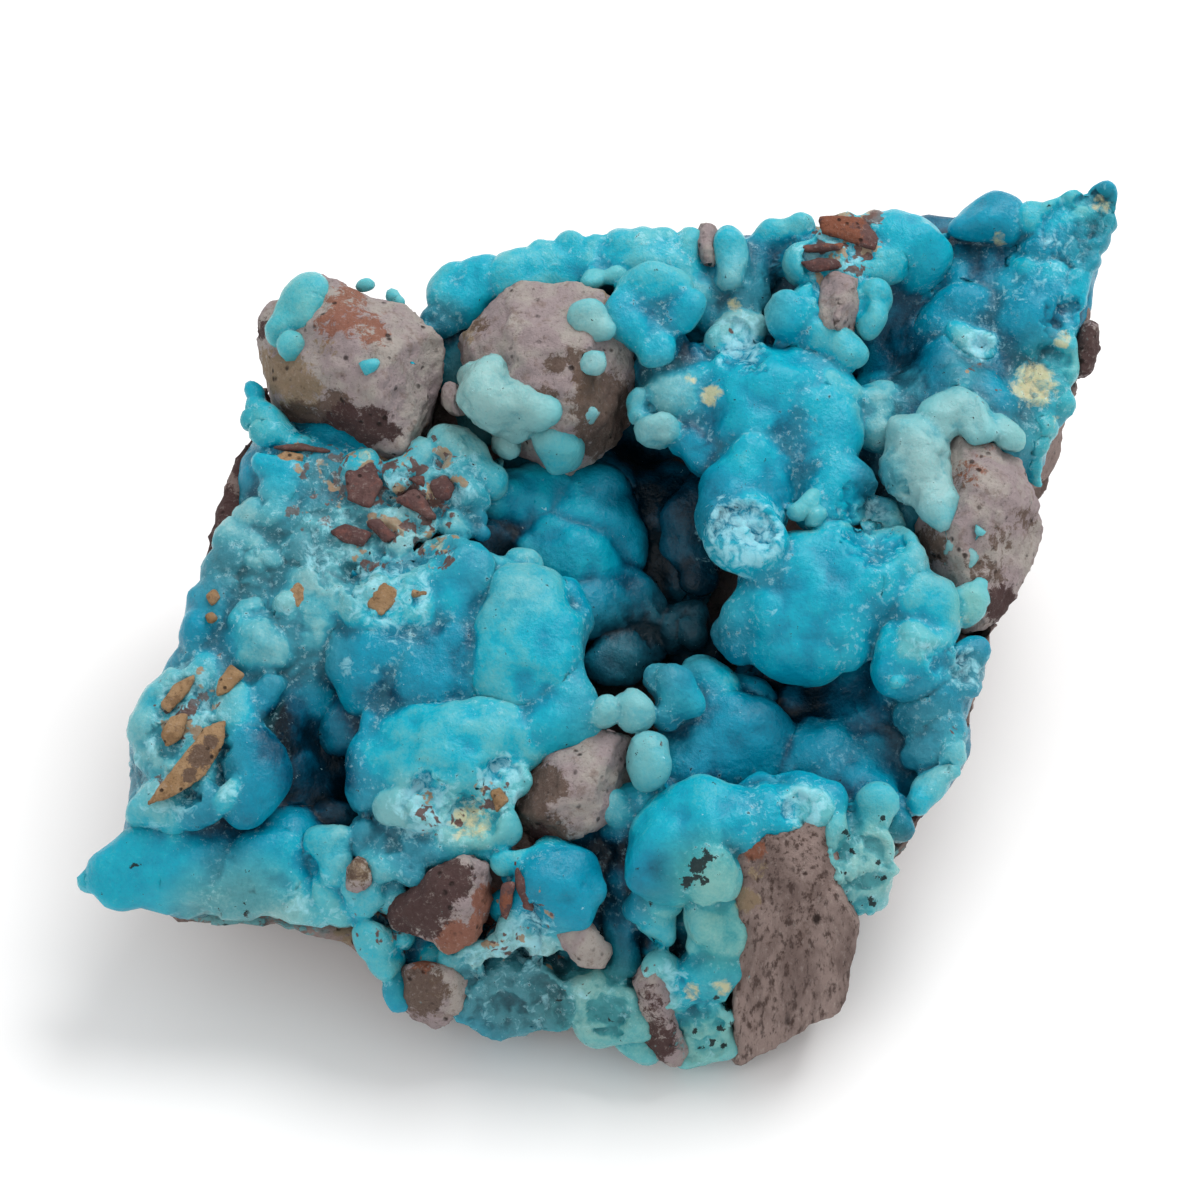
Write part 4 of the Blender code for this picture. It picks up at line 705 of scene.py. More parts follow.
def volcanic_rock_material(name, main, second, fleck, pore_mm=0.5, streaked=False, veined=False):
    """Broken volcanic rock: dull, finely grained, with darker blotches and small black pores. A veined one is a
    breccia, whose pieces differ a little in colour and are cemented by thin veins of blue smithsonite."""
    made, tree = new_material(name)
    place = add_node(tree, "ShaderNodeNewGeometry").outputs["Position"]
    if streaked:
        place = add_node(tree, "ShaderNodeMapping", {"Scale": (1.0, 1.0, 0.28)}, {0: place}).outputs[0]
    blotch = add_step(tree, add_noise(tree, place, 3.5, 4.0, 0.6, 0.4), 0.44, 0.60)
    colour = add_mix(tree, blotch, main, second)
    spots = add_step(tree, add_noise(tree, place, 1.1, 4.0, 0.65), 0.54, 0.66)
    colour = add_mix(tree, add_math(tree, "MULTIPLY", spots, 0.6), colour, fleck)
    if streaked:
        streak = add_step(tree, add_noise(tree, place, 0.55, 3.0, 0.7), 0.52, 0.64)
        colour = add_mix(tree, add_math(tree, "MULTIPLY", streak, 0.75), colour, "#3a2b27")
    crystal = add_noise(tree, place, 0.8, 4.0, 0.7, 0.3)
    if veined:
        # Pieces of older rock about 9 mm across, their outlines bent by 4 mm waves
        sway = add_node(tree, "ShaderNodeTexNoise", {"Scale": 1 / (4 * MM), "Detail": 3.0}, {"Vector": place})
        sway = add_node(tree, "ShaderNodeVectorMath", {"operation": "MULTIPLY_ADD", 1: (4 * MM,) * 3},
                        {0: sway.outputs["Color"], 2: place}).outputs[0]
        piece = add_node(tree, "ShaderNodeTexVoronoi", {"Scale": 1 / (9 * MM)}, {"Vector": sway})
        piece = add_node(tree, "ShaderNodeSeparateColor", links={0: piece.outputs["Color"]}).outputs[0]
        for low, high, shade in ((0.62, 0.66, "#92807b"), (0.34, 0.30, "#574640")):
            share = add_math(tree, "MULTIPLY", add_step(tree, piece, low, high), 0.7)
            colour = add_mix(tree, share, colour, shade)
        edge = add_node(tree, "ShaderNodeTexVoronoi", {"Scale": 1 / (9 * MM), "feature": "DISTANCE_TO_EDGE"},
                        {"Vector": sway}).outputs["Distance"]
        edge = add_math(tree, "ADD", edge, add_math(tree, "MULTIPLY", crystal, 0.08))
        vein = add_step(tree, edge, 0.085, 0.055)
        vein = add_math(tree, "MULTIPLY", vein, add_step(tree, add_noise(tree, place, 14.0, 2.0), 0.53, 0.60))
        colour = add_mix(tree, add_math(tree, "MULTIPLY", vein, 0.85), colour, "#5f9a9e")
    for stain, shade, strength in (("tan", "#86735c", 0.9), ("brown", "#5c4a40", 0.9), ("red", "#84503b", 0.85),
                                   ("maroon", "#45302f", 0.95), ("teal", "#5f9a9e", 0.9)):
        area = add_math(tree, "ADD", add_attribute(tree, stain), add_math(tree, "MULTIPLY", crystal, 2.4))
        area = add_step(tree, area, 1.62, 1.86)
        colour = add_mix(tree, add_math(tree, "MULTIPLY", area, strength), colour, shade)
    grain = add_noise(tree, place, 0.4, 4.0, 0.75)
    light = add_step(tree, grain, 0.56, 0.74)
    colour = add_mix(tree, add_math(tree, "MULTIPLY", light, 0.3), colour, "#c8bcb4")
    dark = add_step(tree, grain, 0.44, 0.30)
    colour = add_mix(tree, add_math(tree, "MULTIPLY", dark, 0.5), colour, "#33261f")
    # Gas pores, 2.4 of their own widths apart, shallow dents painted dark as the shade inside them. The finest of
    # the real ones are too small to show and left out.
    cell = add_node(tree, "ShaderNodeTexVoronoi", {"Scale": 1 / (pore_mm * 2.4 * MM)}, {"Vector": place})
    pore = add_step(tree, cell.outputs["Distance"], 0.24, 0.12)
    sparse = add_step(tree, add_noise(tree, place, 2.2, 2.0, 0.5), 0.48, 0.58)
    pore = add_math(tree, "MULTIPLY", pore, sparse)
    colour = add_mix(tree, add_math(tree, "MULTIPLY", pore, 0.85), colour, "#241a17")
    height = add_math(tree, "SUBTRACT", grain, add_math(tree, "MULTIPLY", pore, 0.8))
    finish_material(tree, colour, {
        "Roughness": 0.85, "Metallic": 0.0, "IOR": 1.5, "Specular IOR Level": 0.2,
    }, height, 0.32)
    return made


def mesh_from(points, triangles):
    mesh = bpy.data.meshes.new("blank")
    mesh.vertices.add(len(points))
    mesh.vertices.foreach_set("co", points.astype(np.float32).ravel())
    mesh.loops.add(triangles.size)
    mesh.loops.foreach_set("vertex_index", triangles.astype(np.int32).ravel())
    mesh.polygons.add(len(triangles))
    mesh.polygons.foreach_set("loop_start", np.arange(0, triangles.size, 3, dtype=np.int32))
    mesh.update(calc_edges=True)
    return mesh


def modified(mesh, kind, settings, weights=None):
    """The mesh after one modifier. weights fill the vertex group that it works on."""
    blank = bpy.data.objects.new("blank", mesh)
    bpy.context.scene.collection.objects.link(blank)
    step = blank.modifiers.new("step", kind)
    for key, value in settings.items():
        setattr(step, key, value)
    if weights is not None:
        group = blank.vertex_groups.new(name="weights")
        for level in np.unique(weights):
            group.add(np.flatnonzero(weights == level).tolist(), float(level), "REPLACE")
        step.vertex_group = group.name
    graph = bpy.context.evaluated_depsgraph_get()
    graph.update()
    changed = bpy.data.meshes.new_from_object(blank.evaluated_get(graph))
    bpy.data.objects.remove(blank)
    bpy.data.meshes.remove(mesh)
    return changed


def sealed(mesh, voxel):
    """Remeshes a mesh in mm into one even closed surface."""
    return modified(mesh, "REMESH", {"mode": "VOXEL", "voxel_size": voxel})


def mesh_points(mesh):
    flat = np.empty(len(mesh.vertices) * 3, np.float32)
    mesh.vertices.foreach_get("co", flat)
    return flat.reshape(-1, 3).astype(np.float64)


def mesh_normals(mesh):
    flat = np.empty(len(mesh.vertices) * 3, np.float32)
    mesh.vertex_normals.foreach_get("vector", flat)
    return flat.reshape(-1, 3).astype(np.float64)


def set_points(mesh, points):
    mesh.vertices.foreach_set("co", points.astype(np.float32).ravel())
    mesh.update()


def set_layer(mesh, name, values):
    layer = mesh.attributes.new(name, "FLOAT", "POINT")
    layer.data.foreach_set("value", values.astype(np.float32))


def smooth_points(mesh, points, rounds, share=0.5):
    """Pulls each point towards the middle of its neighbours."""
    edges = np.empty(len(mesh.edges) * 2, np.int32)
    mesh.edges.foreach_get("vertices", edges)
    edges = edges.reshape(-1, 2)
    count = np.bincount(edges.ravel(), minlength=len(points))[:, None]
    for _ in range(rounds):
        total = np.zeros_like(points)
        for axis in range(3):
            total[:, axis] += np.bincount(edges[:, 0], points[edges[:, 1], axis], len(points))
            total[:, axis] += np.bincount(edges[:, 1], points[edges[:, 0], axis], len(points))
        points = points * (1 - share) + total / count * share
    return points


def add_piece(name, mesh, material, slot, *nodes):
    """Turns a mesh in mm into a piece in metres that rides on the stone and stands for the CAD nodes."""
    set_points(mesh, mesh_points(mesh) * MM)
    mesh.materials.clear()
    mesh.materials.append(material)
    mesh.shade_smooth()
    mesh.name = name
    piece = bpy.data.objects.new(name, mesh)
    bpy.context.scene.collection.objects.link(piece)
    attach(piece, "root")
    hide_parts(*nodes)
    return piece


def rock_surface(*kinds):
    """The CAD rocks of these kinds in mm, to find what is seen at a pixel and what lies inside them."""
    shape = bmesh.new()
    for name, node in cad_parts.items():
        if name.startswith(kinds):
            shape.from_mesh(node.data)
    bmesh.ops.scale(shape, vec=(1 / MM,) * 3, verts=shape.verts)
    surface = BVHTree.FromBMesh(shape)
    shape.free()
    return surface


def inside_rim(across, down, margin):
    """Whether the pixel is inside the rock's rim, by at least the margin in pixels."""
    inside = False
    for (x1, y1), (x2, y2) in zip(RIM, RIM[1:] + RIM[:1]):
        along = (across - x1) * (x2 - x1) + (down - y1) * (y2 - y1)
        share = min(max(along / ((x2 - x1) ** 2 + (y2 - y1) ** 2), 0), 1)
        if math.hypot(across - x1 - share * (x2 - x1), down - y1 - share * (y2 - y1)) < margin:
            return False
        if (y1 > down) != (y2 > down) and across < x1 + (x2 - x1) * (down - y1) / (y2 - y1):
            inside = not inside
    return inside


def clear_of_rock(surface, across, down, radius, lift):
    """Lowers the crown of a ball so that the rock fragments stay bare."""
    for right, below, spare in ((0, 0, -0.6), (0.75, 0, 0.5), (-0.75, 0, 0.5), (0, 0.75, 0.5), (0, -0.75, 0.5)):
        way = (face_point(across + right * radius, down + below * radius, 0) - EYE).normalized()
        seen = surface.ray_cast(EYE, way)[0]
        if seen is not None:
            lift = min(lift, face_place(np.array([seen]))[2][0] + spare)
    return lift


def bed_balls():
    """Even balls under the whole face of the stone, which follow the lobes up and down."""
    balls = []
    fragments = rock_surface("fragment")
    host = rock_surface("host")
    crowns = np.array([ball for _, _, spots in itertools.chain(*GROWTHS) for ball in spots])
    for row in range(FRAME_PX // BED_STEP):
        for column in range(FRAME_PX // BED_STEP):
            across = (column + 0.5 * (row % 2)) * BED_STEP
            down = row * BED_STEP
            lift = BED_LIFT
            for x, y, radius, depth in HOLLOWS:
                lift -= depth * math.exp(-((across - x) ** 2 + (down - y) ** 2) / radius ** 2)
            weights = np.exp(-((crowns[:, 0] - across) ** 2 + (crowns[:, 1] - down) ** 2) / BED_REACH ** 2)
            weights *= crowns[:, 2] ** 2 / BED_CROWN ** 2
            pulled = (weights * (crowns[:, 3] - BED_DROP)).sum()
            lift = (BED_SHARE * lift + pulled) / (BED_SHARE + weights.sum())
            lift = clear_of_rock(fragments, across, down, BED_RADIUS, lift)
            in_front = face_point(across, down, lift - BED_RADIUS * MM_PER_PX).y < BED_BACK
            deep = face_point(across, down, lift - 2 * BED_RADIUS * MM_PER_PX)
            spot, normal, _, _ = host.find_nearest(deep)
            in_front = in_front and (deep - spot).dot(normal) < -BED_COVER
            bare = any(math.hypot(across - x, down - y) < radius for x, y, radius in BARE)
            if in_front and not bare and inside_rim(across, down, BED_MARGIN):
                balls.append((across, down, BED_RADIUS, lift))
    return balls


def crust_lobes(surface):
    """Every lobe as its melt, its tone and its balls. A ball has a middle, a radius, a squash and a short axis."""
    lobes = []
    for melt, tone, spots in itertools.chain([(BED_MELT, BED_TONE, bed_balls())], *GROWTHS):
        balls = []
        for across, down, radius, crown in spots:
            squash = min(max(1.02 - radius * 0.008, 0.62), 0.95)        # the wider a ball, the flatter it is
            size = radius * MM_PER_PX * FACE_NEARER
            balls.append((face_point(across, down, crown - size * squash), size, squash, TO_VIEWER))
        lobes.append((melt * MELT_FALL, tone, balls))
    for thick, melt, tone, discs in SKINS:
        balls = []
        for across, down, radius in discs:
            way = (face_point(across, down, 0) - EYE).normalized()
            seen, normal, _, _ = surface.ray_cast(EYE, way)
            if seen is None:
                continue
            if normal.dot(way) > 0:
                normal = -normal
            size = radius * MM_PER_PX * FACE_NEARER
            squash = min(1.0, (thick + SKIN_ROOT) / size)
            balls.append((seen + normal * (thick - size * squash), size, squash, normal))
        lobes.append((melt * MELT_FALL, tone, balls))
    return lobes


def crust_field(points, lobes):
    """For each point: how far outside the crust it is, the slope of that, its tone and how near a seam it is."""
    order = np.argsort(points[:, 0])
    ordered = points[order]
    total = np.full(len(points), 1e-30)
    slope = np.zeros((len(points), 3))
    soft = np.full(len(points), 1e-30)
    soft_square = np.zeros(len(points))
    shade = np.zeros(len(points))
    share = np.zeros(len(points))
    pull = np.zeros((len(points), 3))
    for melt, tone, balls in lobes:
        reach = 1.2 + 4 * melt
        touched = []
        for middle, radius, squash, axis in balls:
            low, high = np.searchsorted(ordered[:, 0], (middle.x - radius - reach, middle.x + radius + reach))
            apart = ordered[low:high] - np.array(middle)
            near = np.flatnonzero((apart ** 2).sum(1) < (radius * BALL_DEPTH + reach) ** 2)
            apart = apart[near]
            axis = np.array(axis)
            along = apart @ axis
            flat = apart - along[:, None] * axis
            flat_square = (flat ** 2).sum(1)
            deep = np.where(along > 0, squash, BALL_DEPTH)
            size = np.sqrt(flat_square + (along / deep) ** 2) / radius + 1e-9
            steep = np.sqrt(flat_square + (along / deep ** 2) ** 2) / radius ** 2 + 1e-9
            far = size * (size - 1) / steep
            way = (flat + (along / deep ** 2)[:, None] * axis) / (steep * radius ** 2)[:, None]
            weight = np.exp(np.clip(-far / melt, -60, 60))
            which = low + near
            share[which] += weight
            pull[which] += weight[:, None] * way
            touched.append(which)
        which = np.unique(np.concatenate(touched)) if touched else np.empty(0, int)
        far = -melt * np.log(share[which])
        way = pull[which] / share[which][:, None]
        sharp = np.exp(np.clip(-far / SEAM_MELT, -60, 60))
        total[which] += sharp
        slope[which] += sharp[:, None] * way
        gentle = np.exp(np.clip(-far / TONE_MELT, -60, 60))
        soft[which] += gentle
        soft_square[which] += gentle ** 2
        shade[which] += gentle * tone
        share[which] = 0
        pull[which] = 0
    back = np.empty_like(order)
    back[order] = np.arange(len(order))
    gap = -SEAM_MELT * np.log(total)
    seam = np.clip(2 * (1 - soft_square / soft ** 2), 0, 1)
    return gap[back], (slope / total[:, None])[back], (shade / soft)[back], seam[back]


def bent(points):
    """The points moved a little by noise, so that what is laid out with them loses its perfect roundness."""
    wide = [noise_at(points, 6.0, seed, 2) * 0.8 for seed in (5, 6, 7)]
    fine = [noise_at(points, 1.6, seed, 1) * 0.14 for seed in (8, 9, 10)]
    return points + np.stack(wide, 1) + np.stack(fine, 1)


def break_level(points):
    """How far each point stands in front of the breaks through the crust, in mm."""
    across, down, lift = face_place(points)
    level = np.full(len(points), NO_BREAK)
    for x, y, radius, height in BREAKS:
        away = np.maximum(0, np.hypot(across - x, down - y) - radius) * MM_PER_PX
        level = np.minimum(level, height + BREAK_SPREAD * away)
    rough = noise_at(points, 3.0, 4, 3) * BREAK_ROUGH
    return lift - level - rough


def settle_on_crust(points, lobes, rounds):
    """Moves each point onto the outside of the lobes and of the breaks through them."""
    for _ in range(rounds):
        gap, slope, _, _ = crust_field(bent(points), lobes)
        cut = break_level(points)
        broken = cut > gap
        gap = np.where(broken, cut, gap)
        slope = np.where(broken[:, None], np.array(TO_VIEWER), slope)
        steep = np.maximum((slope ** 2).sum(1), 0.15)
        move = np.clip(np.clip(gap, -SETTLE_STEP, SETTLE_STEP) / steep, -1.2, 1.2)
        points = points - move[:, None] * slope
    return points


def lobe_mesh(lobes, step):
    """All the balls of the lobes, a little swollen, as one even surface in mm."""
    shape = bmesh.new()
    bmesh.ops.create_icosphere(shape, subdivisions=3, radius=1)
    ball = np.array([v.co for v in shape.verts])
    faces = np.array([[v.index for v in f.verts] for f in shape.faces])
    shape.free()
    all_points = []
    all_faces = []
    for melt, _, balls in lobes:
        for middle, radius, squash, axis in balls:
            way = np.array(axis)
            along = ball @ way
            deep = np.where(along > 0, squash, BALL_DEPTH)
            points = ball + ((deep - 1) * along)[:, None] * way
            all_faces.append(faces + len(all_points) * len(ball))
            all_points.append(points * (radius + 0.3 * melt) + np.array(middle))
    return sealed(mesh_from(np.concatenate(all_points), np.concatenate(all_faces)), step)


def relieved(mesh, points):
    """The crust's points with small caps all over, and crumbs and flat facets where it is broken or dull."""
    normals = mesh_normals(mesh)
    broken = np.clip((break_level(points) + 0.3) / 0.25, 0, 1)
    across, down, lift = face_place(points)
    rough = np.maximum(broken, 0.75 * spot_mask(across, down, DULL) * (lift > -9))
    caps = sum(deep * (caps_at(bent(points), size, seed) - 0.55) for size, deep, seed in CAPS)
    crumble = (0.4 - np.abs(noise_at(points, 1.3, 3, 4))) * 0.3 * rough
    crumble += (facets_at(bent(points), 2.6, 5) * 0.46 + facets_at(bent(points), 1.2, 6) * 0.18) * rough
    points = points + normals * (caps * (1 - broken * 0.8) + crumble)[:, None]
    points[:, 2] = np.maximum(points[:, 2], 0.02)
    return points


def stay_in_host(points):
    """Moves the crust that the host rock hides from the viewer back inside that rock."""
    host = rock_surface("host")
    for index in np.flatnonzero((face_place(points)[2] < STRAY_LIFT) & (points[:, 1] < STRAY_BACK)):
        sight = Vector(points[index]) - EYE
        if host.ray_cast(EYE, sight.normalized(), sight.length - 1.0)[0] is None:
            continue
        spot, normal, _, _ = host.find_nearest(points[index])
        outside = (Vector(points[index]) - spot).dot(normal) + STRAY_COVER
        points[index] -= np.array(normal) * max(0.0, min(outside, STRAY_REACH))
    return points


def thinned(mesh, surface, most):
    """The mesh with at most so many triangles. Its open surface keeps far more of them than what is in the rock."""
    weights = np.full(len(mesh.vertices), SHOWN_WEIGHT)
    for index, point in enumerate(mesh_points(mesh)):
        spot, normal, _, _ = surface.find_nearest(point)
        if (Vector(point) - spot).dot(normal) < -0.25:
            weights[index] = 1
    count = sum(len(face.vertices) - 2 for face in mesh.polygons)
    return modified(mesh, "DECIMATE", {"ratio": min(1.0, most / count)}, weights)


def paint_crust(mesh, lobes):
    """Marks the crust's tone and the places where it is another colour, for its material."""
    points = mesh_points(mesh)
    _, _, tone, seam = crust_field(bent(points), lobes)
    across, down, lift = face_place(points)
    facing = mesh_normals(mesh) @ np.array(TO_VIEWER)
    shown = np.clip((lift + 13) / 4, 0, 1) * np.clip(facing * 4 + 1.5, 0, 1)
    # Painted light and shade: crowns are painted paler and creases darker, those of the small caps first, and then
    # those of whole lobes
    smoother = points
    for rounds, strength, least, most in ((16, 0.8, -0.05, 0.08), (50, 0.5, -0.20, 0.04)):
        smoother = smooth_points(mesh, smoother, rounds)
        rounded = ((points - smoother) * mesh_normals(mesh)).sum(1)
        tone = tone + np.clip(rounded * strength, least, most)
    # Painted shade darkens the hollows, the more the deeper they lie, and crust that slants away from the view gets
    # a painted pale rim light
    tone = tone - 0.35 * spot_mask(across, down, PAINTED_HOLLOW_SHADE) * shown
    tone = tone + np.clip((lift + 4.0) * 0.06, -0.36, 0.0) * shown
    tone = tone + 0.10 * np.clip((0.55 - facing) * 2.5, 0, 1) * np.clip((lift + 4) / 3, 0, 1) * shown
    broken = np.clip((break_level(points) + 0.7) / 0.5, 0, 1) * shown
    set_layer(mesh, "tone", np.clip(tone, 0, 1.0))
    set_layer(mesh, "white", np.clip(spot_mask(across, down, WHITE) * shown + 0.25 * broken, 0, 1))
    for name, spots in (("cream", CREAM), ("green", GREEN), ("dull", DULL), ("pit", PITS), ("crumb", CRUMBS)):
        set_layer(mesh, name, spot_mask(across, down, spots) * shown)
    set_layer(mesh, "seam", seam * np.clip((lift + 5) / 4, 0, 1) * shown)


class StoneSizes(bpy.types.PropertyGroup):
    crust_step: bpy.props.FloatProperty(
        name="Crust mesh step", description="Distance between the points of the crust's surface, in mm",
        default=CRUST_VOXEL, min=0.2, max=2.0)
    crust_faces: bpy.props.IntProperty(
        name="Crust triangles", description="Most triangles that the crust may have",
        default=CRUST_FACES, min=10000, max=199000)


class STONE_OT_crust(bpy.types.Operator):
    """Grows the smithsonite crust from its lobes"""
    bl_idname = "stone.crust"
    bl_label = "Smithsonite crust"

    def execute(self, context):
        sizes = context.scene.stone_sizes
        surface = rock_surface("host", "fragment", "chip")
        lobes = crust_lobes(surface)
        mesh = lobe_mesh(lobes, sizes.crust_step)
        points = settle_on_crust(mesh_points(mesh), lobes, 4)
        set_points(mesh, points)
        set_points(mesh, stay_in_host(relieved(mesh, points)))
        mesh = thinned(mesh, surface, sizes.crust_faces)
        paint_crust(mesh, lobes)
        add_piece("smithsonite_crust_grown", mesh, smithsonite_material(), "smithsonite", "smithsonite_crust")
        return {"FINISHED"}


# Places where the rock is another colour: (across, down, radius, strength)
ROCK_STAINS = {
    "tan": [
        (285, 372, 26, 0.9), (300, 392, 24, 0.9), (268, 360, 14, 0.7), (325, 345, 14, 0.5), (470, 325, 18, 0.6),
        (600, 300, 14, 0.5), (440, 985, 18, 0.4), (748, 900, 12, 0.9), (755, 870, 12, 0.5), (360, 870, 16, 0.8),
        (585, 385, 18, 0.6), (350, 925, 20, 0.9), (495, 1005, 10, 0.7),
    ],
    "brown": [
        (600, 400, 30, 1.0), (612, 430, 22, 1.0), (590, 440, 20, 0.9), (585, 372, 16, 0.9), (555, 365, 12, 0.9),
        (575, 355, 10, 0.9), (545, 400, 16, 0.8), (545, 785, 22, 1.0), (530, 815, 22, 1.0), (550, 835, 22, 1.0),
        (530, 765, 14, 1.0), (300, 425, 26, 1.0), (335, 410, 20, 0.9), (960, 480, 14, 0.6), (930, 545, 20, 0.8),
        (985, 570, 24, 0.6), (1000, 540, 16, 0.5), (420, 990, 30, 0.9), (360, 870, 20, 0.6), (125, 912, 20, 1.0),
        (160, 915, 20, 0.8), (1025, 520, 14, 0.6), (480, 325, 12, 0.6),
        (200, 757, 12, 1.0), (190, 776, 9, 0.9), (211, 742, 8, 0.9),
    ],
    "red": [
        (345, 312, 24, 0.75), (370, 330, 20, 0.7), (330, 325, 16, 0.7), (350, 292, 14, 0.7), (487, 900, 16, 1.0),
        (482, 930, 18, 1.0), (455, 940, 20, 1.0), (425, 955, 18, 0.8), (990, 440, 20, 0.4), (970, 470, 16, 0.5),
        (754, 850, 12, 0.9), (430, 430, 14, 0.3), (505, 900, 12, 0.6), (840, 225, 24, 0.9),
    ],
    "maroon": [
        (345, 425, 22, 1.0), (372, 425, 20, 1.0), (392, 432, 10, 0.8), (360, 440, 16, 0.9), (430, 895, 30, 1.0),
        (410, 915, 22, 1.0), (450, 880, 24, 1.0), (400, 905, 18, 1.0), (430, 925, 14, 1.0), (540, 838, 14, 0.9),
        (245, 455, 24, 1.0), (225, 510, 24, 1.0), (210, 545, 18, 1.0), (1088, 350, 30, 0.9), (1002, 605, 20, 1.0),
        (970, 745, 20, 1.0), (925, 812, 16, 1.0), (800, 835, 10, 0.2), (258, 930, 14, 0.9), (262, 330, 12, 0.7),
        (655, 1040, 24, 0.8), (650, 1000, 16, 0.6),
    ],
    "teal": [
        (700, 1040, 22, 0.6), (570, 975, 14, 0.5), (230, 935, 40, 0.8), (290, 940, 30, 0.6), (180, 905, 16, 0.5),
    ],
}

# How strongly each stain shows on the rock's hidden sides
HIDDEN_STAINS = {"tan": 0.5, "brown": 0.7, "red": 0.35, "maroon": 0.6, "teal": 0.0}


def stain_rock(mesh):
    """Marks where the rock is another colour. Its hidden sides take their stains from noise."""
    points = mesh_points(mesh)
    across, down, _ = face_place(points)
    facing = mesh_normals(mesh) @ np.array(TO_VIEWER)
    shown = np.clip(facing * 5 + 1, 0, 1)
    for index, (name, spots) in enumerate(ROCK_STAINS.items()):
        values = spot_mask(across, down, spots) * shown
        hidden = np.clip(noise_at(points, 9.0, 30 + index, 3) * 1.6, 0, 1) * HIDDEN_STAINS[name]
        set_layer(mesh, name, values + hidden * (1 - shown))


# Where the host rock's rim stands out more: (across, down, radius, mm)
SWELLS = [(228, 470, 34, 1.0), (215, 520, 34, 1.0), (203, 565, 28, 0.8)]

# Hollows broken out of each kind of rock: (size, depth) in mm
HOST_SCOOPS = [(17.0, 1.5), (7.0, 0.95), (2.8, 0.4)]
FRAGMENT_SCOOPS = [(6.0, 0.7), (2.4, 0.3), (1.1, 0.1)]
CHIP_SCOOPS = [(2.0, 0.15)]
BLOCKY_FRAGMENTS = ("fragment_front_left", "fragment_middle", "fragment_ridge")


def rough_rock(node, step, proud, scoops, grain, seed, stretch=(1, 1, 1), facets=0, level=1.0):
    """The CAD rock as an even mesh in mm with a broken skin, which stands proud by so many mm to close the gap
    round it. Its scoops meet in sharp edges, and grain is the depth in mm of its fine roughness. Up to so many
    flat facets are broken off its front, each at the given level of the rock's reach that way."""
    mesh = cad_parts[node].data.copy()
    set_points(mesh, mesh_points(mesh) / MM)
    mesh = sealed(mesh, step)
    points = smooth_points(mesh, mesh_points(mesh), 1)
    middle = (points.min(0) + points.max(0)) / 2
    ways = SLOPES[seed:seed + facets]
    for way in ways[ways @ np.array(TO_VIEWER) > -0.1]:
        height = (points - middle) @ way
        over = np.maximum(0, height - level * height.max())
        points = points - over[:, None] * way
    set_points(mesh, points)
    normals = mesh_normals(mesh)
    depth = noise_at(points * stretch, 0.9, seed, 3) * grain
    for index, (size, deep) in enumerate(scoops):
        bend = points + np.stack([noise_at(points, size, seed + way, 2) for way in (1, 2, 3)], 1) * size * 0.15
        depth += deep * (0.45 - caps_at(bend * stretch, size, seed + index))
    across, down, _ = face_place(points)
    swell = spot_mask(across, down, SWELLS) * (node == "host_rock")
    points = points + normals * (depth + proud + swell)[:, None]
    points[:, 2] = np.maximum(points[:, 2], 0)
    set_points(mesh, points)
    return mesh


class STONE_OT_host_rock(bpy.types.Operator):
    """Breaks the brown host rock out of its block"""
    bl_idname = "stone.host_rock"
    bl_label = "Host rock"

    def execute(self, context):
        mesh = rough_rock("host_rock", 0.55, 0.45, HOST_SCOOPS, 0.18, 11)
        stain_rock(mesh)
        rock = volcanic_rock_material("broken_brown_breccia", "#75645f", "#86756f", "#5a4740", veined=True)
        add_piece("host_rock_broken", mesh, rock, "host_rock", "host_rock")
        return {"FINISHED"}


class STONE_OT_fragments(bpy.types.Operator):
    """Roughens the rock fragments that the crust grew round"""
    bl_idname = "stone.fragments"
    bl_label = "Rock fragments"

    def execute(self, context):
        grey = volcanic_rock_material("pitted_pink_grey_rock", "#97898a", "#a39b95", "#7d6b64")
        streaked = volcanic_rock_material("streaked_brown_rock", "#8d7b75", "#705f5a", "#5a4740", 0.6, True)
        for index, node in enumerate(sorted(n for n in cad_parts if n.startswith("fragment"))):
            front = node == "fragment_front"
            stretch = (1, 1, 0.35) if front else (1, 1, 1)
            facets = 0 if front else 18
            level = 0.80 if node in BLOCKY_FRAGMENTS else 0.87
            mesh = rough_rock(node, 0.36, 0.5, FRAGMENT_SCOOPS, 0.2, 20 + index, stretch, facets, level)
            stain_rock(mesh)
            add_piece(node + "_rough", mesh, streaked if front else grey, "pink_grey_rock", node)
        return {"FINISHED"}


class STONE_OT_chips(bpy.types.Operator):
    """Breaks the small chips of rock that lie in the crust"""
    bl_idname = "stone.chips"
    bl_label = "Rock chips"

    def execute(self, context):
        brown = volcanic_rock_material("split_maroon_rock", "#573f3e", "#664c49", "#7d5048", 0.35)
        sand = volcanic_rock_material("earthy_sand_rock", "#a08261", "#8a6c4c", "#6a4f38", 0.35)
        for index, node in enumerate(sorted(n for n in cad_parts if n.startswith("chip"))):
            mesh = rough_rock(node, 0.2, 0.15, CHIP_SCOOPS, 0.09, 60 + index)
            stain_rock(mesh)
            sandy = node.startswith("chip_sand")
            rock, slot = (sand, "sand_rock") if sandy else (brown, "brown_rock")
            add_piece(node + "_split", mesh, rock, slot, node)
        return {"FINISHED"}


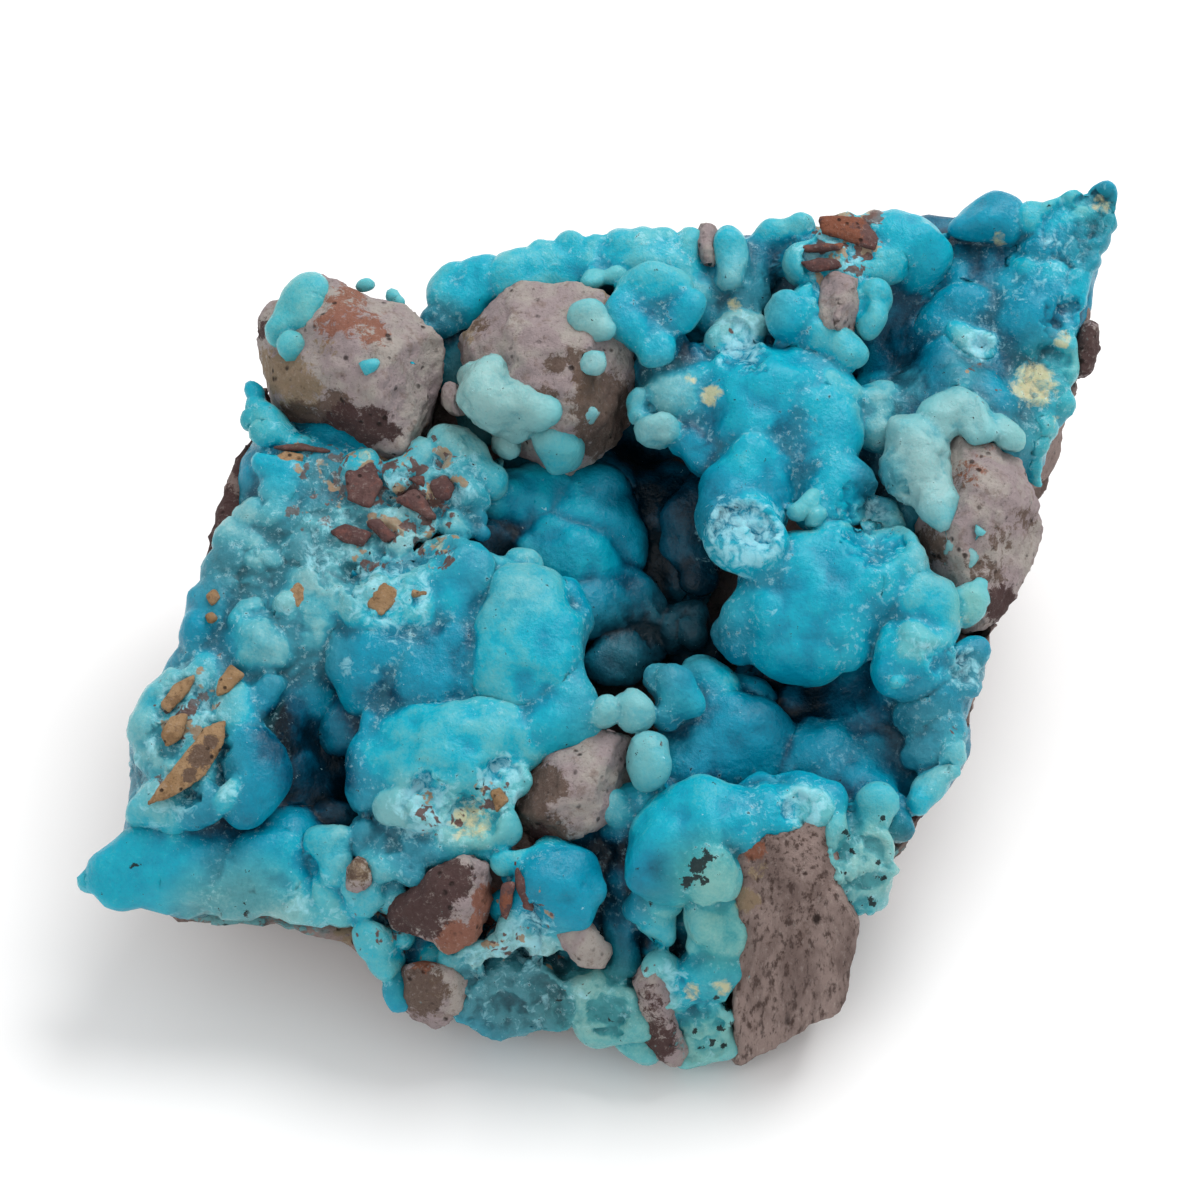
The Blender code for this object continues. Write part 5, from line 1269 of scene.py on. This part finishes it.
class STONE_OT_stage(bpy.types.Operator):
    """Sets the pale floor, the soft light and the camera"""
    bl_idname = "stone.stage"
    bl_label = "Studio stage"

    def execute(self, context):
        scene = context.scene
        scene.view_settings.view_transform = "Standard"
        shape = bmesh.new()
        bmesh.ops.create_grid(shape, x_segments=1, y_segments=1, size=3.0)
        bmesh.ops.translate(shape, vec=(0, 0, -0.0002), verts=shape.verts)
        mesh = bpy.data.meshes.new("floor")
        shape.to_mesh(mesh)
        shape.free()
        floor = bpy.data.objects.new("floor", mesh)
        scene.collection.objects.link(floor)
        made, tree = new_material("matt_white_paper")
        shader = add_node(tree, "ShaderNodeBsdfPrincipled",
                          {"Base Color": linear("#f4f4f4"), "Roughness": 0.9, "Specular IOR Level": 0.0})
        add_node(tree, "ShaderNodeOutputMaterial", links={0: shader.outputs[0]})
        mesh.materials.append(made)

        world = bpy.data.worlds.new("studio")
        world.use_nodes = True
        world.node_tree.nodes["Background"].inputs["Color"].default_value = (1, 1, 1, 1)
        world.node_tree.nodes["Background"].inputs["Strength"].default_value = 0.80
        scene.world = world

        middle = Vector(PICTURE_MIDDLE) * MM
        for name, way, far, size, power in (
            ("key", (0.42, 0.50, 1.0), 0.75, 0.45, 4.0),
            ("fill", (-0.6, -0.9, 0.9), 0.9, 0.6, 0.8),
        ):
            light = bpy.data.objects.new(name, bpy.data.lights.new(name, "AREA"))
            light.data.shape = "DISK"
            light.data.size = size
            light.data.energy = power
            direction = Vector(way).normalized()
            light.location = middle + direction * far
            light.rotation_euler = direction.to_track_quat("Z", "Y").to_euler()
            scene.collection.objects.link(light)

        camera = bpy.data.objects.new("camera", bpy.data.cameras.new("camera"))
        camera.data.sensor_width = 36
        camera.data.lens = 36 * VIEW_DISTANCE / (FRAME_PX * MM_PER_PX)
        camera.data.clip_start = 0.01
        camera.location = middle + TO_VIEWER * VIEW_DISTANCE * MM
        camera.rotation_euler = TO_VIEWER.to_track_quat("Z", "Y").to_euler()
        scene.collection.objects.link(camera)
        scene.camera = camera
        return {"FINISHED"}


OPERATORS = (STONE_OT_crust, STONE_OT_host_rock, STONE_OT_fragments, STONE_OT_chips, STONE_OT_stage)


class STONE_PT_panel(bpy.types.Panel):
    bl_label = "Smithsonite"
    bl_idname = "STONE_PT_panel"
    bl_space_type = "VIEW_3D"
    bl_region_type = "UI"
    bl_category = "Smithsonite"

    def draw(self, context):
        self.layout.prop(context.scene.stone_sizes, "crust_step")
        self.layout.prop(context.scene.stone_sizes, "crust_faces")
        for operator in OPERATORS:
            self.layout.operator(operator.bl_idname)


def register():
    bpy.utils.register_class(StoneSizes)
    bpy.types.Scene.stone_sizes = bpy.props.PointerProperty(type=StoneSizes)
    for operator in OPERATORS:
        bpy.utils.register_class(operator)
    bpy.utils.register_class(STONE_PT_panel)


def unregister():
    bpy.utils.unregister_class(STONE_PT_panel)
    for operator in reversed(OPERATORS):
        bpy.utils.unregister_class(operator)
    del bpy.types.Scene.stone_sizes
    bpy.utils.unregister_class(StoneSizes)


def main():
    register()
    bpy.ops.stone.crust()
    bpy.ops.stone.host_rock()
    bpy.ops.stone.fragments()
    bpy.ops.stone.chips()
    bpy.ops.stone.stage()
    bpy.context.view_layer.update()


if __name__ == "__main__":
    main()
